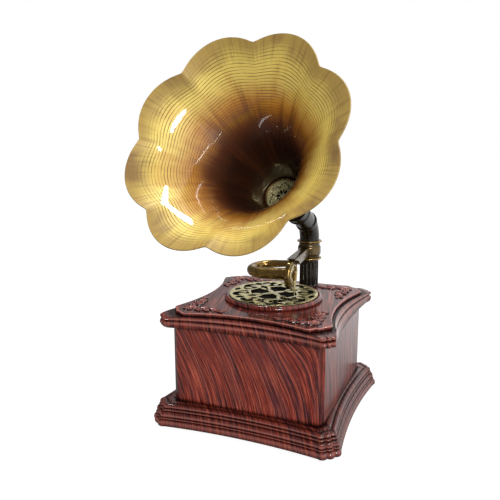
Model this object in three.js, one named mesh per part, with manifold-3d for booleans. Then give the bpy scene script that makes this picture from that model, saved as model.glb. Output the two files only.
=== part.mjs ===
// Gramophone-style record player: a moulded wooden base, a pierced disc, a tonearm and a petalled horn.
// Millimetres, +Z up, the front faces -Y and the feet stand on Z = 0.
import * as THREE from 'three';
import { mergeVertices } from 'three/addons/utils/BufferGeometryUtils.js';
import Module from 'manifold-3d';

const wasm = await Module();
wasm.setup();

// Fits and clearances
const seat = 0.05;
const fit = 0.3;
const runningFit = 0.25;
const overrun = 2;

// Feet, base plate and its screws
const footHeight = 4;
const footRadius = 5;
const footEdge = 1;
const footSetback = 14;
const basePlateThickness = 2.5;
const basePlateMargin = 6;
const baseScrewInset = 3;
const screwHeadRadius = 2.6;
const screwHeadHeight = 1.5;
const screwShankRadius = 1.3;
const screwLength = 9;
const screwClearance = 0.2;

// Plinth: a moulded frame, widest near the ground, with concave sides and three-lobed corners
const plinthWidth = 174;
const plinthHeight = 20;
const plinthSetback = 9;
const plinthLedge = 22.5;
const plinthCornerRadius = 15;
const plinthHollow = 4.9;
const plinthProfileShares = [
  [0.44, 0], [0.06, 0.08], [0, 0.22], [0.12, 0.36], [0.49, 0.42], [0.34, 0.5], [0.33, 0.66], [0.5, 0.73],
  [0.7, 0.77], [0.62, 0.84], [0.7, 0.93], [1, 1],
];

// Cabinet
const cabinetWidth = 140;
const plinthOpening = (plinthWidth + cabinetWidth) / 2 - 2 * plinthLedge;
const footPlace = plinthOpening / 2 + footSetback;
const cabinetHeight = 71.5;
const cabinetWall = 6;
const cabinetBevel = 5;

// Lid board and top panel
const lidWidth = 158.6;
const lidHeight = 10;
const lidSetback = 4;
const lidCornerRadius = 9;
const lidCornerGrowth = 11.6;
const lidSideBottom = 74;
const lidSideTop = 67;
const lidProfileShares = [
  [0.5, 0], [0.1, 0.1], [0, 0.3], [0.1, 0.46], [0.3, 0.52], [0.05, 0.6], [0, 0.78], [0.25, 0.94], [0.95, 1],
];
const panelWidth = 144;
const panelThickness = 3;
const panelSetback = 1.2;
const panelCornerRadius = 19;
const panelHollow = 8.5;
const panelProfileShares = [[0.2, 0], [0, 0.2], [0, 0.75], [1, 1]];

// Plan of the mouldings: lobed corners and concave sides, the rear one almost straight behind the column
const lobeDepth = 1.9;
const lobeSharpness = 0.7;
const lobesPerCorner = 3;
const stepsPerLobe = 3;
const stepsPerSide = 5;
const rearHollowShare = 0.12;

// Carved corner ornaments: a flower with two sprays of leaves along the edges
const carvingHeight = 1.6;
const carvingPlace = 57.5;
const flowerRadius = 7;
const flowerCore = 3;
const flowerPetals = 5;
const petalWidth = 5;
const stemWidth = 1.8;
const leafLength = 11.5;
const leafWidth = 6.4;
const leafSpread = 8.6;
const leavesPerSpray = 3;
const sprayTaperShare = 0.14;
const leafTurnDegrees = 24;
const leafPlanShares = [[0, 0], [0.3, 0.95], [0.7, 0.85], [1, 0], [0.7, -0.85], [0.3, -0.95]];
const leafCrest = 0.45;
const leafTopShare = 0.4;

// Loudspeaker under the disc
const speakerY = 3.4;
const speakerRadius = 41;
const speakerFlange = 2;
const speakerDepth = 30;
const basketRadius = 26;
const magnetRadius = 25;
const magnetHeight = 13;
const surroundOuter = 37.5;
const surroundInner = 32.5;
const surroundDrop = 1.2;
const surroundRise = 2.2;
const surroundThickness = 0.8;
const coneThroat = 12;
const coneDepth = 18;
const coneWall = 0.9;
const coilDepth = 4;
const dustCapRise = 4.5;
const coneTravel = 1;
const basketWall = 1.6;
const speakerSides = 24;

// Bezel, cloth and pierced disc
const bezelRadius = 46.5;
const bezelHeight = 4.2;
const bezelNose = 2.4;
const discRadius = 42;
const discThickness = 1.8;
const discRise = 0.5;
const discGap = 0.7;
const ledgeWidth = 4;
const clothThickness = 0.6;
const discRim = 2.6;
const discOrder = 4;
const scrollSteps = 4;

// Column
const columnX = 18.5;
const columnY = 58;
const columnRadius = 9.5;
const columnHeight = 28.5;
const columnBore = 6.6;
const fluteCount = 16;
const stepsPerFlute = 3;
const fluteDepth = 1;
const fluteTop = 3;
const tailRadius = 5;
const tailBore = 3;
const nutRadius = 7.4;
const nutHeight = 4;
const counterboreRadius = 8;
const counterboreDepth = 5;

// Collars and arm sleeve round the neck's spigot
const spigotRadius = 6;
const spigotWall = 1.6;
const spigotDepth = 12;
const collarRadius = 12.4;
const collarHeight = 2;
const sleeveRadius = 11.6;
const sleeveWaist = 10.3;
const sleeveHeight = 15.2;
const sleeveBore = 6.9;

// Tonearm
const barX = 17.85;
const barWidth = 8.7;
const barHeight = 8.5;
const barDrop = 3;
const barRise = 7.7;
const barEndY = 1;
const barEdge = 0.8;
const armRootInset = 0.9;
const soundboxX = 16.9;
const soundboxY = 4;
const soundboxZ = 132.1;
const soundboxRadius = 13.8;
const soundboxThickness = 5;
const soundboxRim = 1.2;
const ringRadius = 9.6;
const ringThickness = 1.5;
const ringHeight = 0.9;
const gooseneckFat = 6;
const gooseneckThin = 3.1;
const gooseneckBendX = -12.8;
const gooseneckBend = 14.5;
const gooseneckSweep = 220;
const gooseneckEndY = 18.2;
const gooseneckRise = 132.3;
const gooseneckDip = 2.3;
const gooseneckClimb = 7.3;
const climbPower = 2.2;
const gooseneckSides = 12;
const gooseneckSteps = 10;
const holderRadius = 1.8;
const holderLength = 9;
const holderRise = 15;
const needleY = -2.2;
const needleRadius = 1.2;
const needleLength = 19;
const needleTipRadius = 0.25;
const needleTipGap = 0.5;

// Neck, from the upper collar to the horn socket
const elbowX = columnX;
const elbowY = columnY;
const elbowRadius = 9.8;
const elbowWall = 2;
const elbowBend = 24;
const elbowCentreRise = 14.8;
const elbowStraight = 25;
const elbowSides = 16;
const elbowSteps = 6;
const bandStep = 5;
const bandRadius = 11.1;
const bandEdge = 10.6;
const bandBore = elbowRadius + fit + seat;
const bandWidth = 3;
const socketRadius = 12;
const socketLength = 13;
const socketLap = 5;
const socketLip = 1.1;

// Horn: aimed to the front and upwards, with eight petals
const hornTurn = -4.315;
const hornTilt = 27.45;
const hornReach = 188.7;
const hornRadius = 81.1;
const petalRise = 9;
const petalLift = 1.35;
const petalCount = 8;
const petalPower = 0.75;
const hornWall = 1.1;
const hornFlare = 2.1;
const throatReach = 79.7;
const throatRadius = 17.6;
const hornStart = 41;
const hornStartRadius = 8.6;
const creaseShare = 0.55;
const stepsPerPetal = 6;
const bellSteps = 8;
const bellCrowding = 1.5;

// Throat grille and driver
const throatRingWidth = 1.4;
const throatRingHeight = 2;
const rosetteThickness = 1;
const rosetteOrder = 6;
const throatClothThickness = 0.5;
const driverRadius = 12;
const driverDepth = 13;
const driverFlange = 1.2;

// Rear controls
const boardWidth = 92;
const boardHeight = 36;
const boardThickness = 1.6;
const boardCentreHeight = 26;
const bossLength = 9;
const bossRadius = 3;
const bossInset = 5;
const potWidth = 14;
const potDepth = 6.6;
const potX = 32;
const shaftRadius = 2.4;
const knobRadius = 9;
const knobLength = 12;
const knobRibs = 18;
const knobRibDepth = 0.5;
const knobStandoff = 0.6;
const buttonRadius = 3.6;
const buttonPitch = 11;
const buttonFirstX = -25;
const buttonRise = 7;
const buttonProud = 2;
const buttonFlange = 1.1;
const buttonFlangeThickness = 1.5;
const buttonStem = 1.6;
const buttonTravel = 1;
const switchBodyHeight = 4;
const tactWidth = 6;
const powerInset = 10;
const powerX = powerInset - boardWidth / 2;
const powerWidth = 15;
const powerBodyHeight = 7;
const powerBodyDepth = 5.6;
const powerPlate = 8;
const powerPlateThickness = 1.8;
const powerLever = 3.2;
const powerTravel = 4;
const powerProud = 2.2;
const socketDrop = 8;
const usbX = -13;
const usbWidth = 9.4;
const usbHeight = 3.8;
const usbWall = 0.5;
const audioX = 8;
const audioRadius = 3.6;
const audioBore = 1.8;
const socketProud = 0.4;
const socketMouthDepth = 7;

// Battery
const batteryLength = 70;
const batteryWidth = 38;
const batteryHeight = 19;
const batteryEdge = 3;
const trayWall = 1.5;
const trayHeight = 9;

// Levels, from the ground up
const plinthBottom = footHeight;
const plinthTop = plinthBottom + plinthHeight;
const cabinetTop = plinthTop + cabinetHeight;
const lidTop = cabinetTop + lidHeight;
const panelTop = lidTop + panelThickness;
const bezelTop = panelTop + bezelHeight;
const discTop = bezelTop + discRise;
const clothBottom = discTop - discThickness - clothThickness - seat;
const columnTop = panelTop + columnHeight;
const sleeveBottom = columnTop + collarHeight;
const sleeveTop = sleeveBottom + sleeveHeight;
const neckBottom = sleeveTop + collarHeight;
const elbowZ = neckBottom + elbowCentreRise;
const rearFace = cabinetWidth / 2;
const rearInner = rearFace - cabinetWall;
const boardFace = rearInner - bossLength;
const boardZ = plinthTop + boardCentreHeight;

// Colours and finishes
const finish = (color, roughness, metalness) => new THREE.MeshStandardMaterial({
  color,
  roughness,
  metalness,
  flatShading: true,
});
const rosewood = () => finish(0x6e2a22, 0.25, 0);
const carvedWood = () => finish(0x5a1f19, 0.3, 0);
const hornBrass = () => finish(0xb4914b, 0.35, 0.8);
const antiqueBrass = () => finish(0x94793f, 0.35, 0.85);
const darkBronze = () => finish(0x2b2718, 0.35, 0.8);
const paleGold = () => finish(0xc9c48f, 0.35, 0.7);
const blackPlastic = () => finish(0x141414, 0.5, 0);
const blackCloth = () => finish(0x0a0a0a, 0.95, 0);
const steel = () => finish(0x9a9c9e, 0.35, 0.9);
const magnetGrey = () => finish(0x35363a, 0.6, 0.3);
const paperCone = () => finish(0x232220, 0.9, 0);
const boardGreen = () => finish(0x1d4a2c, 0.6, 0);
const batteryBlue = () => finish(0x2b4f7a, 0.5, 0);

// A closed solid from a geometry: shared vertices merged, faces turned outwards
function solid(geometry) {
  const bare = geometry.clone();
  bare.deleteAttribute('normal');
  bare.deleteAttribute('uv');
  const merged = mergeVertices(bare);
  const points = merged.attributes.position.array;
  const faces = [];
  let volume = 0;
  for (let i = 0; i < merged.index.count; i += 3) {
    const [a, b, c] = [0, 1, 2].map((k) => merged.index.getX(i + k));
    if (a === b || b === c || c === a) continue;
    faces.push([a, b, c]);
    const [p, q, r] = [a, b, c].map((k) => new THREE.Vector3().fromArray(points, 3 * k));
    volume += p.dot(q.cross(r));
  }
  const outward = volume > 0 ? faces : faces.map(([a, b, c]) => [a, c, b]);
  return new wasm.Manifold(new wasm.Mesh({
    numProp: 3,
    vertProperties: new Float32Array(points),
    triVerts: new Uint32Array(outward.flat()),
  }));
}

// The three.js geometry of a solid
function geometryOf(body) {
  const mesh = body.getMesh();
  const geometry = new THREE.BufferGeometry();
  geometry.setAttribute('position', new THREE.BufferAttribute(new Float32Array(mesh.vertProperties), 3));
  geometry.setIndex(new THREE.BufferAttribute(new Uint32Array(mesh.triVerts), 1));
  geometry.computeVertexNormals();
  return geometry;
}

const cut = (body, ...tools) => tools.reduce((left, tool) => left.subtract(tool), body);
const join = (body, ...more) => more.reduce((sum, piece) => sum.add(piece), body);

function place(parent, name, body, material) {
  const mesh = new THREE.Mesh(geometryOf(body), material);
  mesh.name = name;
  parent.add(mesh);
  return mesh;
}

// A block between two corners
function block([x0, y0, z0], [x1, y1, z1]) {
  const box = new THREE.BoxGeometry(x1 - x0, y1 - y0, z1 - z0);
  return solid(box.translate((x0 + x1) / 2, (y0 + y1) / 2, (z0 + z1) / 2));
}

// A turned solid: a profile of [radius, height] round the Z axis
function turned(profile, sides) {
  const points = profile.map(([r, z]) => new THREE.Vector2(r, z));
  const first = points[0];
  const last = points.at(-1);
  if (first.x > 0 && !first.equals(last)) points.push(first.clone());
  return solid(new THREE.LatheGeometry(points, sides).rotateX(Math.PI / 2));
}

const rod = (radius, z0, z1, sides) => turned([[0, z0], [radius, z0], [radius, z1], [0, z1]], sides);

// A solid skinned over rings of points, capped at its ends or closed on itself
function skinned(rings, closed = false) {
  const count = rings[0].length;
  const points = rings.flat();
  const faces = [];
  const spans = closed ? rings.length : rings.length - 1;
  for (let row = 0; row < spans; row += 1) {
    const next = (row + 1) % rings.length;
    for (let i = 0; i < count; i += 1) {
      const j = (i + 1) % count;
      const [a, b, c, d] = [row * count + i, row * count + j, next * count + j, next * count + i];
      faces.push(a, b, c, a, c, d);
    }
  }
  if (!closed) {
    [0, rings.length - 1].forEach((row, end) => {
      const centre = rings[row].reduce((sum, p) => sum.add(p), new THREE.Vector3()).divideScalar(count);
      const hub = points.push(centre) - 1;
      for (let i = 0; i < count; i += 1) {
        const [a, b] = [row * count + i, row * count + ((i + 1) % count)];
        faces.push(...(end ? [a, b, hub] : [b, a, hub]));
      }
    });
  }
  const geometry = new THREE.BufferGeometry().setFromPoints(points);
  geometry.setIndex(faces);
  return solid(geometry);
}

// A ring of points about a centre, square to a direction, with its first point along the side vector
function ringAt(centre, direction, side, radius, sides) {
  const across = new THREE.Vector3().crossVectors(direction, side).normalize();
  return Array.from({ length: sides }, (_, i) => {
    const angle = (2 * Math.PI * i) / sides;
    return centre.clone()
      .addScaledVector(side, radius * Math.cos(angle))
      .addScaledVector(across, radius * Math.sin(angle));
  });
}

// Plan outline with concave sides and lobed corners, for one layer of a moulding at a height
function bracketPlan({ half, corner, hollow }, z) {
  const reach = half - corner;
  const points = [];
  for (let quarter = 0; quarter < 4; quarter += 1) {
    const turn = (quarter * Math.PI) / 2;
    const add = (x, y) => points.push(new THREE.Vector3(
      x * Math.cos(turn) - y * Math.sin(turn),
      x * Math.sin(turn) + y * Math.cos(turn),
      z,
    ));
    const dip = quarter === 1 ? hollow * rearHollowShare : hollow;
    const bow = (reach * reach + dip * dip) / (2 * dip);
    for (let i = 0; i < stepsPerSide; i += 1) {
      const y = reach * ((2 * i) / stepsPerSide - 1);
      add(half - dip + bow - Math.sqrt(bow * bow - y * y), y);
    }
    const cornerSteps = lobesPerCorner * stepsPerLobe;
    for (let i = 0; i < cornerSteps; i += 1) {
      const angle = (Math.PI / 2) * (i / cornerSteps);
      const lobe = Math.abs(Math.sin(lobesPerCorner * 2 * angle)) ** lobeSharpness;
      const radius = corner + lobeDepth * (lobe - Math.sin(2 * angle));
      add(reach + radius * Math.cos(angle), reach + radius * Math.sin(angle));
    }
  }
  return points;
}

// A moulding skinned over its layers, with a profile of inset shares and rise shares
function moulding(bottom, height, shares, layerAt) {
  return skinned(shares.map(([inset, rise]) => bracketPlan(layerAt(inset, rise), bottom + rise * height)));
}

// Base: feet, plinth, base plate and screws
function addBase(parent) {
  const opening = plinthOpening / 2;
  const plateHalf = opening + basePlateMargin;
  const plateTop = plinthBottom + basePlateThickness;
  const screwPlace = opening + baseScrewInset;
  const places = [[-1, -1], [1, -1], [1, 1], [-1, 1]];
  const at = (body, [sx, sy], d) => body.translate([sx * d, sy * d, 0]);

  const frame = moulding(plinthBottom, plinthHeight - seat, plinthProfileShares, (inset) => ({
    half: plinthWidth / 2 - inset * plinthSetback,
    corner: plinthCornerRadius - (inset * plinthSetback) / 2,
    hollow: plinthHollow,
  }));
  const well = block([-opening, -opening, plinthBottom - overrun], [opening, opening, plinthTop + overrun]);
  const rabbet = block([-plateHalf - fit, -plateHalf - fit, plinthBottom - overrun],
    [plateHalf + fit, plateHalf + fit, plateTop + seat]);
  const pilot = rod(screwShankRadius + screwClearance, plinthBottom, plinthBottom + screwLength + fit, 8);
  place(parent, 'plinth', cut(frame, well, rabbet, ...places.map((p) => at(pilot, p, screwPlace))),
    rosewood());

  const plate = block([-plateHalf, -plateHalf, plinthBottom], [plateHalf, plateHalf, plateTop]);
  const hole = rod(screwShankRadius + screwClearance, plinthBottom - overrun, plateTop + overrun, 8);
  place(parent, 'base_plate', cut(plate, ...places.map((p) => at(hole, p, screwPlace))), blackPlastic());

  const foot = turned([[0, 0], [footRadius - footEdge, 0], [footRadius, footEdge],
    [footRadius, footHeight - seat], [0, footHeight - seat]], 12);
  const screw = turned([[0, plinthBottom - seat - screwHeadHeight],
    [screwHeadRadius, plinthBottom - seat - screwHeadHeight], [screwHeadRadius, plinthBottom - seat],
    [screwShankRadius, plinthBottom - seat], [screwShankRadius, plinthBottom + screwLength],
    [0, plinthBottom + screwLength]], 6);
  const corners = ['front_left', 'front_right', 'rear_right', 'rear_left'];
  places.forEach((p, i) => {
    place(parent, `foot_${corners[i]}`, at(foot, p, footPlace), blackPlastic());
    place(parent, `base_screw_${corners[i]}`, at(screw, p, screwPlace), steel());
  });
}

// Square outline with bevelled corners
function bevelledSquare(half, bevel) {
  const shape = new THREE.Shape();
  const corner = [[half - bevel, -half], [half, bevel - half]];
  for (let quarter = 0; quarter < 4; quarter += 1) {
    const turn = (quarter * Math.PI) / 2;
    corner.forEach(([x, y]) => {
      const px = x * Math.cos(turn) - y * Math.sin(turn);
      const py = x * Math.sin(turn) + y * Math.cos(turn);
      if (quarter === 0 && shape.curves.length === 0 && x !== half) shape.moveTo(px, py);
      else shape.lineTo(px, py);
    });
  }
  return shape;
}

// A short cylinder along Y, from one depth to another
function rodAlongY(radius, y0, y1, x, z, sides) {
  return rod(radius, y0, y1, sides).rotate([-90, 0, 0]).translate([x, 0, z]);
}

const buttonXs = [0, 1, 2, 3].map((i) => buttonFirstX + (i + 1) * buttonPitch);
const buttonZ = boardZ + buttonRise;
const socketZ = boardZ - socketDrop;

// Cabinet with bosses for the control board and openings for the controls
function addCabinet(parent) {
  const half = cabinetWidth / 2;
  const inner = half - cabinetWall;
  const shape = bevelledSquare(half, cabinetBevel);
  const inside = bevelledSquare(inner, cabinetBevel / 2);
  shape.holes.push(new THREE.Path(inside.getPoints().reverse()));
  const walls = new THREE.ExtrudeGeometry(shape, { depth: cabinetHeight - seat, bevelEnabled: false });
  const box = solid(walls.translate(0, 0, plinthTop));

  const boss = (x, z) => rodAlongY(bossRadius, boardFace + seat, rearInner + cabinetWall / 2, x, z, 8);
  const bossX = boardWidth / 2 - bossInset;
  const bossZ = boardHeight / 2 - bossInset;
  const bosses = [[-1, -1], [1, -1], [1, 1], [-1, 1]]
    .map(([sx, sz]) => boss(sx * bossX, boardZ + sz * bossZ));

  const through = (radius, x, z, sides) => rodAlongY(radius, rearInner - overrun, rearFace + overrun,
    x, z, sides);
  const slot = (width, height, x, z) => block([x - width / 2, rearInner - overrun, z - height / 2],
    [x + width / 2, rearFace + overrun, z + height / 2]);
  const openings = [
    through(shaftRadius + fit, potX, boardZ, 12),
    ...buttonXs.map((x) => through(buttonRadius + fit, x, buttonZ, 12)),
    slot(powerLever + powerTravel + 2 * fit, powerLever + 2 * fit, powerX, boardZ),
    slot(usbWidth + 2 * fit, usbHeight + 2 * fit, usbX, socketZ),
    through(audioRadius + fit, audioX, socketZ, 12),
  ];
  place(parent, 'cabinet', cut(join(box, ...bosses), ...openings), rosewood());
}

// Control board with its switches, pot, sockets and the pieces that the hand meets
function addControls(parent) {
  const boardBack = boardFace - boardThickness;
  const board = block([-boardWidth / 2, boardBack, boardZ - boardHeight / 2],
    [boardWidth / 2, boardFace, boardZ + boardHeight / 2]);
  const tact = (x) => block([x - tactWidth / 2, boardFace - boardThickness / 2, buttonZ - tactWidth / 2],
    [x + tactWidth / 2, boardFace + switchBodyHeight, buttonZ + tactWidth / 2]);
  place(parent, 'control_board', join(board, ...buttonXs.map(tact)), boardGreen());

  const mount = boardFace + seat;
  const potFace = mount + potDepth;
  const pot = block([potX - potWidth / 2, mount, boardZ - potWidth / 2],
    [potX + potWidth / 2, potFace, boardZ + potWidth / 2]);
  const shaftEnd = mount + potDepth / 3;
  const potBore = rodAlongY(shaftRadius + runningFit, shaftEnd, potFace + overrun, potX, boardZ, 12);
  place(parent, 'volume_pot', cut(pot, potBore), steel());

  const knobInner = rearFace + knobStandoff;
  const knobRim = Array.from({ length: 2 * knobRibs }, (_, i) => {
    const angle = (Math.PI * i) / knobRibs;
    const radius = i % 2 ? knobRadius : knobRadius - knobRibDepth;
    return new THREE.Vector2(radius * Math.cos(angle), radius * Math.sin(angle));
  });
  const knobCap = solid(new THREE.ExtrudeGeometry(new THREE.Shape(knobRim), {
    depth: knobLength,
    bevelEnabled: false,
  })).rotate([-90, 0, 0]).translate([potX, knobInner, boardZ]);
  const shaft = rodAlongY(shaftRadius, shaftEnd + fit, knobInner + knobLength / 2, potX, boardZ, 12);
  place(parent, 'volume_knob', join(knobCap, shaft), antiqueBrass());

  buttonXs.forEach((x, i) => {
    const flangeFace = rearInner - fit;
    const flangeBack = flangeFace - buttonFlangeThickness;
    const stemEnd = boardFace + switchBodyHeight + fit + buttonTravel;
    const cap = rodAlongY(buttonRadius, flangeBack, rearFace + buttonProud, x, buttonZ, 12);
    const flange = rodAlongY(buttonRadius + buttonFlange, flangeBack, flangeFace, x, buttonZ, 12);
    const stem = rodAlongY(buttonStem, stemEnd, flangeFace, x, buttonZ, 8);
    place(parent, `push_button_${i + 1}`, join(flange, cap, stem), antiqueBrass());
  });

  const powerFace = mount + powerBodyDepth;
  const body = block([powerX - powerWidth / 2, mount, boardZ - powerBodyHeight / 2],
    [powerX + powerWidth / 2, powerFace, boardZ + powerBodyHeight / 2]);
  place(parent, 'power_switch_body', body, steel());
  const restX = powerX - powerTravel / 2;
  const plate = block([restX - powerPlate / 2, powerFace + fit, boardZ - powerBodyHeight / 2],
    [restX + powerPlate / 2, powerFace + fit + powerPlateThickness, boardZ + powerBodyHeight / 2]);
  const lever = block([restX - powerLever / 2, powerFace + fit, boardZ - powerLever / 2],
    [restX + powerLever / 2, rearFace + powerProud, boardZ + powerLever / 2]);
  place(parent, 'power_switch_slider', join(plate, lever), blackPlastic());

  const socketFace = rearFace + socketProud;
  const usbShell = block([usbX - usbWidth / 2, mount, socketZ - usbHeight / 2],
    [usbX + usbWidth / 2, socketFace, socketZ + usbHeight / 2]);
  const [mouthWidth, mouthHeight] = [usbWidth - 2 * usbWall, usbHeight - 2 * usbWall];
  const usbMouth = block([usbX - mouthWidth / 2, socketFace - socketMouthDepth, socketZ - mouthHeight / 2],
    [usbX + mouthWidth / 2, socketFace + overrun, socketZ + mouthHeight / 2]);
  place(parent, 'charging_socket', cut(usbShell, usbMouth), steel());
  const barrel = rodAlongY(audioRadius, mount, socketFace, audioX, socketZ, 12);
  const bore = rodAlongY(audioBore, socketFace - socketMouthDepth, socketFace + overrun,
    audioX, socketZ, 12);
  place(parent, 'audio_socket', cut(barrel, bore), blackPlastic());
}

// Battery pack in its tray on the base plate
function addBattery(parent) {
  const floor = plinthBottom + basePlateThickness + seat;
  const outerX = batteryLength / 2 + fit + trayWall;
  const outerY = batteryWidth / 2 + fit + trayWall;
  const shell = block([-outerX, -outerY, floor], [outerX, outerY, floor + trayHeight]);
  const hollow = block([trayWall - outerX, trayWall - outerY, floor + trayWall],
    [outerX - trayWall, outerY - trayWall, floor + trayHeight + overrun]);
  place(parent, 'battery_tray', cut(shell, hollow), blackPlastic());

  const section = new THREE.Shape();
  const [w, h, e] = [batteryWidth / 2, batteryHeight, batteryEdge];
  section.moveTo(e - w, 0);
  [[w - e, 0], [w, e], [w, h - e], [w - e, h], [e - w, h], [-w, h - e], [-w, e]]
    .forEach(([x, y]) => section.lineTo(x, y));
  const pack = solid(new THREE.ExtrudeGeometry(section, { depth: batteryLength, bevelEnabled: false }));
  const upright = pack.rotate([90, 0, 90]).translate([-batteryLength / 2, 0, floor + trayWall + seat]);
  place(parent, 'battery_pack', upright, batteryBlue());
}

// One carved leaf: a pointed dome along X
function leaf(length, width, height) {
  const outline = (share, z) => leafPlanShares.map(([along, across]) => new THREE.Vector3(
    length * (leafCrest + (along - leafCrest) * share),
    (width / 2) * across * share,
    z,
  ));
  return skinned([outline(1, 0), outline(leafTopShare, height)]);
}

// A corner ornament: a flower in the corner and a spray of leaves on a stem along each edge
function cornerOrnament() {
  const flower = turned([[0, 0], [flowerCore, 0], [flowerCore, carvingHeight * 0.7], [0, carvingHeight]], 8);
  const petals = Array.from({ length: flowerPetals }, (_, i) => leaf(flowerRadius, petalWidth,
    carvingHeight * 0.8).rotate([0, 0, (360 * i) / flowerPetals + 45]));
  const stem = block([0, -stemWidth / 2, 0], [flowerCore + (leavesPerSpray - 1) * leafSpread, stemWidth / 2,
    carvingHeight / 2]);
  const spray = Array.from({ length: leavesPerSpray }, (_, i) => {
    const size = 1 - i * sprayTaperShare;
    return leaf(leafLength * size, leafWidth * size, carvingHeight * size)
      .rotate([0, 0, i % 2 ? -leafTurnDegrees : leafTurnDegrees])
      .translate([flowerCore + i * leafSpread - stemWidth / 2, 0, 0]);
  });
  const half = join(stem, ...spray);
  return join(flower, ...petals, half, half.mirror([1, -1, 0]));
}

// Lid board, top panel and the carved corners
function addLid(parent) {
  const cutOut = speakerRadius + fit;
  const speakerHole = rod(cutOut, cabinetTop - overrun, panelTop + overrun, 32).translate([0, speakerY, 0]);
  const tailHole = rod(tailRadius + fit, cabinetTop - overrun, panelTop + overrun, 12);
  const counterbore = rod(counterboreRadius, cabinetTop - overrun, cabinetTop + counterboreDepth, 12);
  const atColumn = (body) => body.translate([columnX, columnY, 0]);
  const board = moulding(cabinetTop, lidHeight - seat, lidProfileShares, (inset, rise) => {
    const half = lidWidth / 2 - inset * lidSetback;
    const side = lidSideBottom + rise * (lidSideTop - lidSideBottom);
    return { half, corner: lidCornerRadius + inset * lidCornerGrowth, hollow: half - side };
  });
  place(parent, 'lid_board', cut(board, speakerHole, atColumn(tailHole), atColumn(counterbore)), rosewood());

  const slab = moulding(lidTop, panelThickness, panelProfileShares, (inset) => ({
    half: panelWidth / 2 - inset * panelSetback,
    corner: panelCornerRadius,
    hollow: panelHollow,
  }));
  const grilleHole = rod(discRadius - ledgeWidth, lidTop - overrun, panelTop + overrun, 32);
  const grilleOpening = grilleHole.translate([0, speakerY, 0]);
  place(parent, 'top_panel', cut(slab, grilleOpening, atColumn(tailHole)), rosewood());

  const ornament = cornerOrnament();
  ['front_left', 'front_right', 'rear_right', 'rear_left'].forEach((corner, i) => {
    const turnedOrnament = ornament.rotate([0, 0, 90 * i]);
    const x = carvingPlace * (i === 0 || i === 3 ? -1 : 1);
    const y = carvingPlace * (i < 2 ? -1 : 1);
    place(parent, `carving_${corner}`, turnedOrnament.translate([x, y, panelTop + seat]), carvedWood());
  });
}

// Loudspeaker hung under the top panel, facing up
function addSpeaker(parent) {
  const top = lidTop - seat;
  const flangeBottom = top - speakerFlange;
  const ledge = top - surroundDrop;
  const bottom = top - speakerDepth;
  const at = (body) => body.translate([0, speakerY, 0]);
  const frame = turned([
    [speakerRadius, top], [speakerRadius, flangeBottom], [surroundOuter + basketWall / 2, flangeBottom],
    [basketRadius, bottom + basketWall], [basketRadius, bottom], [coneThroat + fit, bottom],
    [coneThroat + fit, bottom + basketWall], [basketRadius - basketWall, bottom + basketWall],
    [surroundInner + basketWall, ledge - basketWall], [surroundInner + basketWall, ledge],
    [surroundOuter + fit, ledge], [surroundOuter + fit, top],
  ], speakerSides);
  place(parent, 'speaker_frame', at(frame), steel());

  const magnetTop = bottom - seat;
  const pole = coneThroat - coneWall - fit;
  const magnet = turned([
    [0, magnetTop - magnetHeight], [magnetRadius, magnetTop - magnetHeight], [magnetRadius, magnetTop],
    [coneThroat + fit, magnetTop], [coneThroat + fit, magnetTop - coilDepth - 2 * coneTravel],
    [pole, magnetTop - coilDepth - 2 * coneTravel], [pole, magnetTop], [0, magnetTop],
  ], speakerSides);
  place(parent, 'speaker_magnet', at(magnet), magnetGrey());

  const rim = ledge + seat;
  const rollMiddle = (surroundOuter + surroundInner) / 2;
  const surround = turned([
    [surroundOuter, rim], [surroundOuter, rim + surroundThickness], [rollMiddle, rim + surroundRise],
    [surroundInner, rim + surroundThickness], [surroundInner, rim],
    [rollMiddle, rim + surroundRise - surroundThickness],
  ], speakerSides);
  place(parent, 'speaker_surround', at(surround), blackPlastic());

  const coneRim = surroundInner - fit;
  const coneTop = rim + surroundThickness;
  const coneBottom = coneTop - coneDepth;
  const cone = turned([
    [coneThroat - coneWall, magnetTop - coilDepth], [coneThroat, magnetTop - coilDepth],
    [coneThroat, coneBottom], [coneRim, coneTop - coneWall], [coneRim, coneTop],
    [coneRim - coneWall, coneTop], [coneThroat - coneWall, coneBottom + coneWall],
  ], speakerSides);
  place(parent, 'speaker_cone', at(cone), paperCone());
  const capRadius = coneThroat - coneWall - fit;
  const cap = turned([[0, coneBottom], [capRadius, coneBottom], [capRadius, coneBottom + dustCapRise / 3],
    [capRadius * 0.6, coneBottom + dustCapRise * 0.85], [0, coneBottom + dustCapRise]], 12);
  place(parent, 'dust_cap', at(cap), paperCone());
}

// A comma-shaped scroll opening: a band that narrows as it turns
function scrollHole(cx, cy, radius, start, sweep, fat, thin) {
  const outer = [];
  const inner = [];
  for (let i = 0; i <= scrollSteps; i += 1) {
    const share = i / scrollSteps;
    const angle = start + sweep * share;
    const half = (fat + (thin - fat) * share) / 2;
    const path = radius * (1 - 0.25 * share);
    const point = (r) => new THREE.Vector2(cx + r * Math.cos(angle), cy + r * Math.sin(angle));
    outer.push(point(path + half));
    inner.push(point(path - half));
  }
  return [...outer, ...inner.reverse()];
}

// A leaf-shaped opening pointing outwards along an angle
function leafHole(angle, near, far, width, steps) {
  const rightSide = [];
  const leftSide = [];
  for (let i = 0; i <= steps; i += 1) {
    const share = i / steps;
    const along = near + (far - near) * share;
    const half = (width / 2) * Math.sin(Math.PI * share ** 0.8);
    const point = (side) => new THREE.Vector2(
      along * Math.cos(angle) - side * half * Math.sin(angle),
      along * Math.sin(angle) + side * half * Math.cos(angle),
    );
    rightSide.push(point(-1));
    if (i > 0 && i < steps) leftSide.push(point(1));
  }
  return [...rightSide, ...leftSide.reverse()];
}

function mirrored(points, angle) {
  const [c, s] = [Math.cos(2 * angle), Math.sin(2 * angle)];
  return points.map((p) => new THREE.Vector2(c * p.x + s * p.y, s * p.x - c * p.y)).reverse();
}

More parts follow.
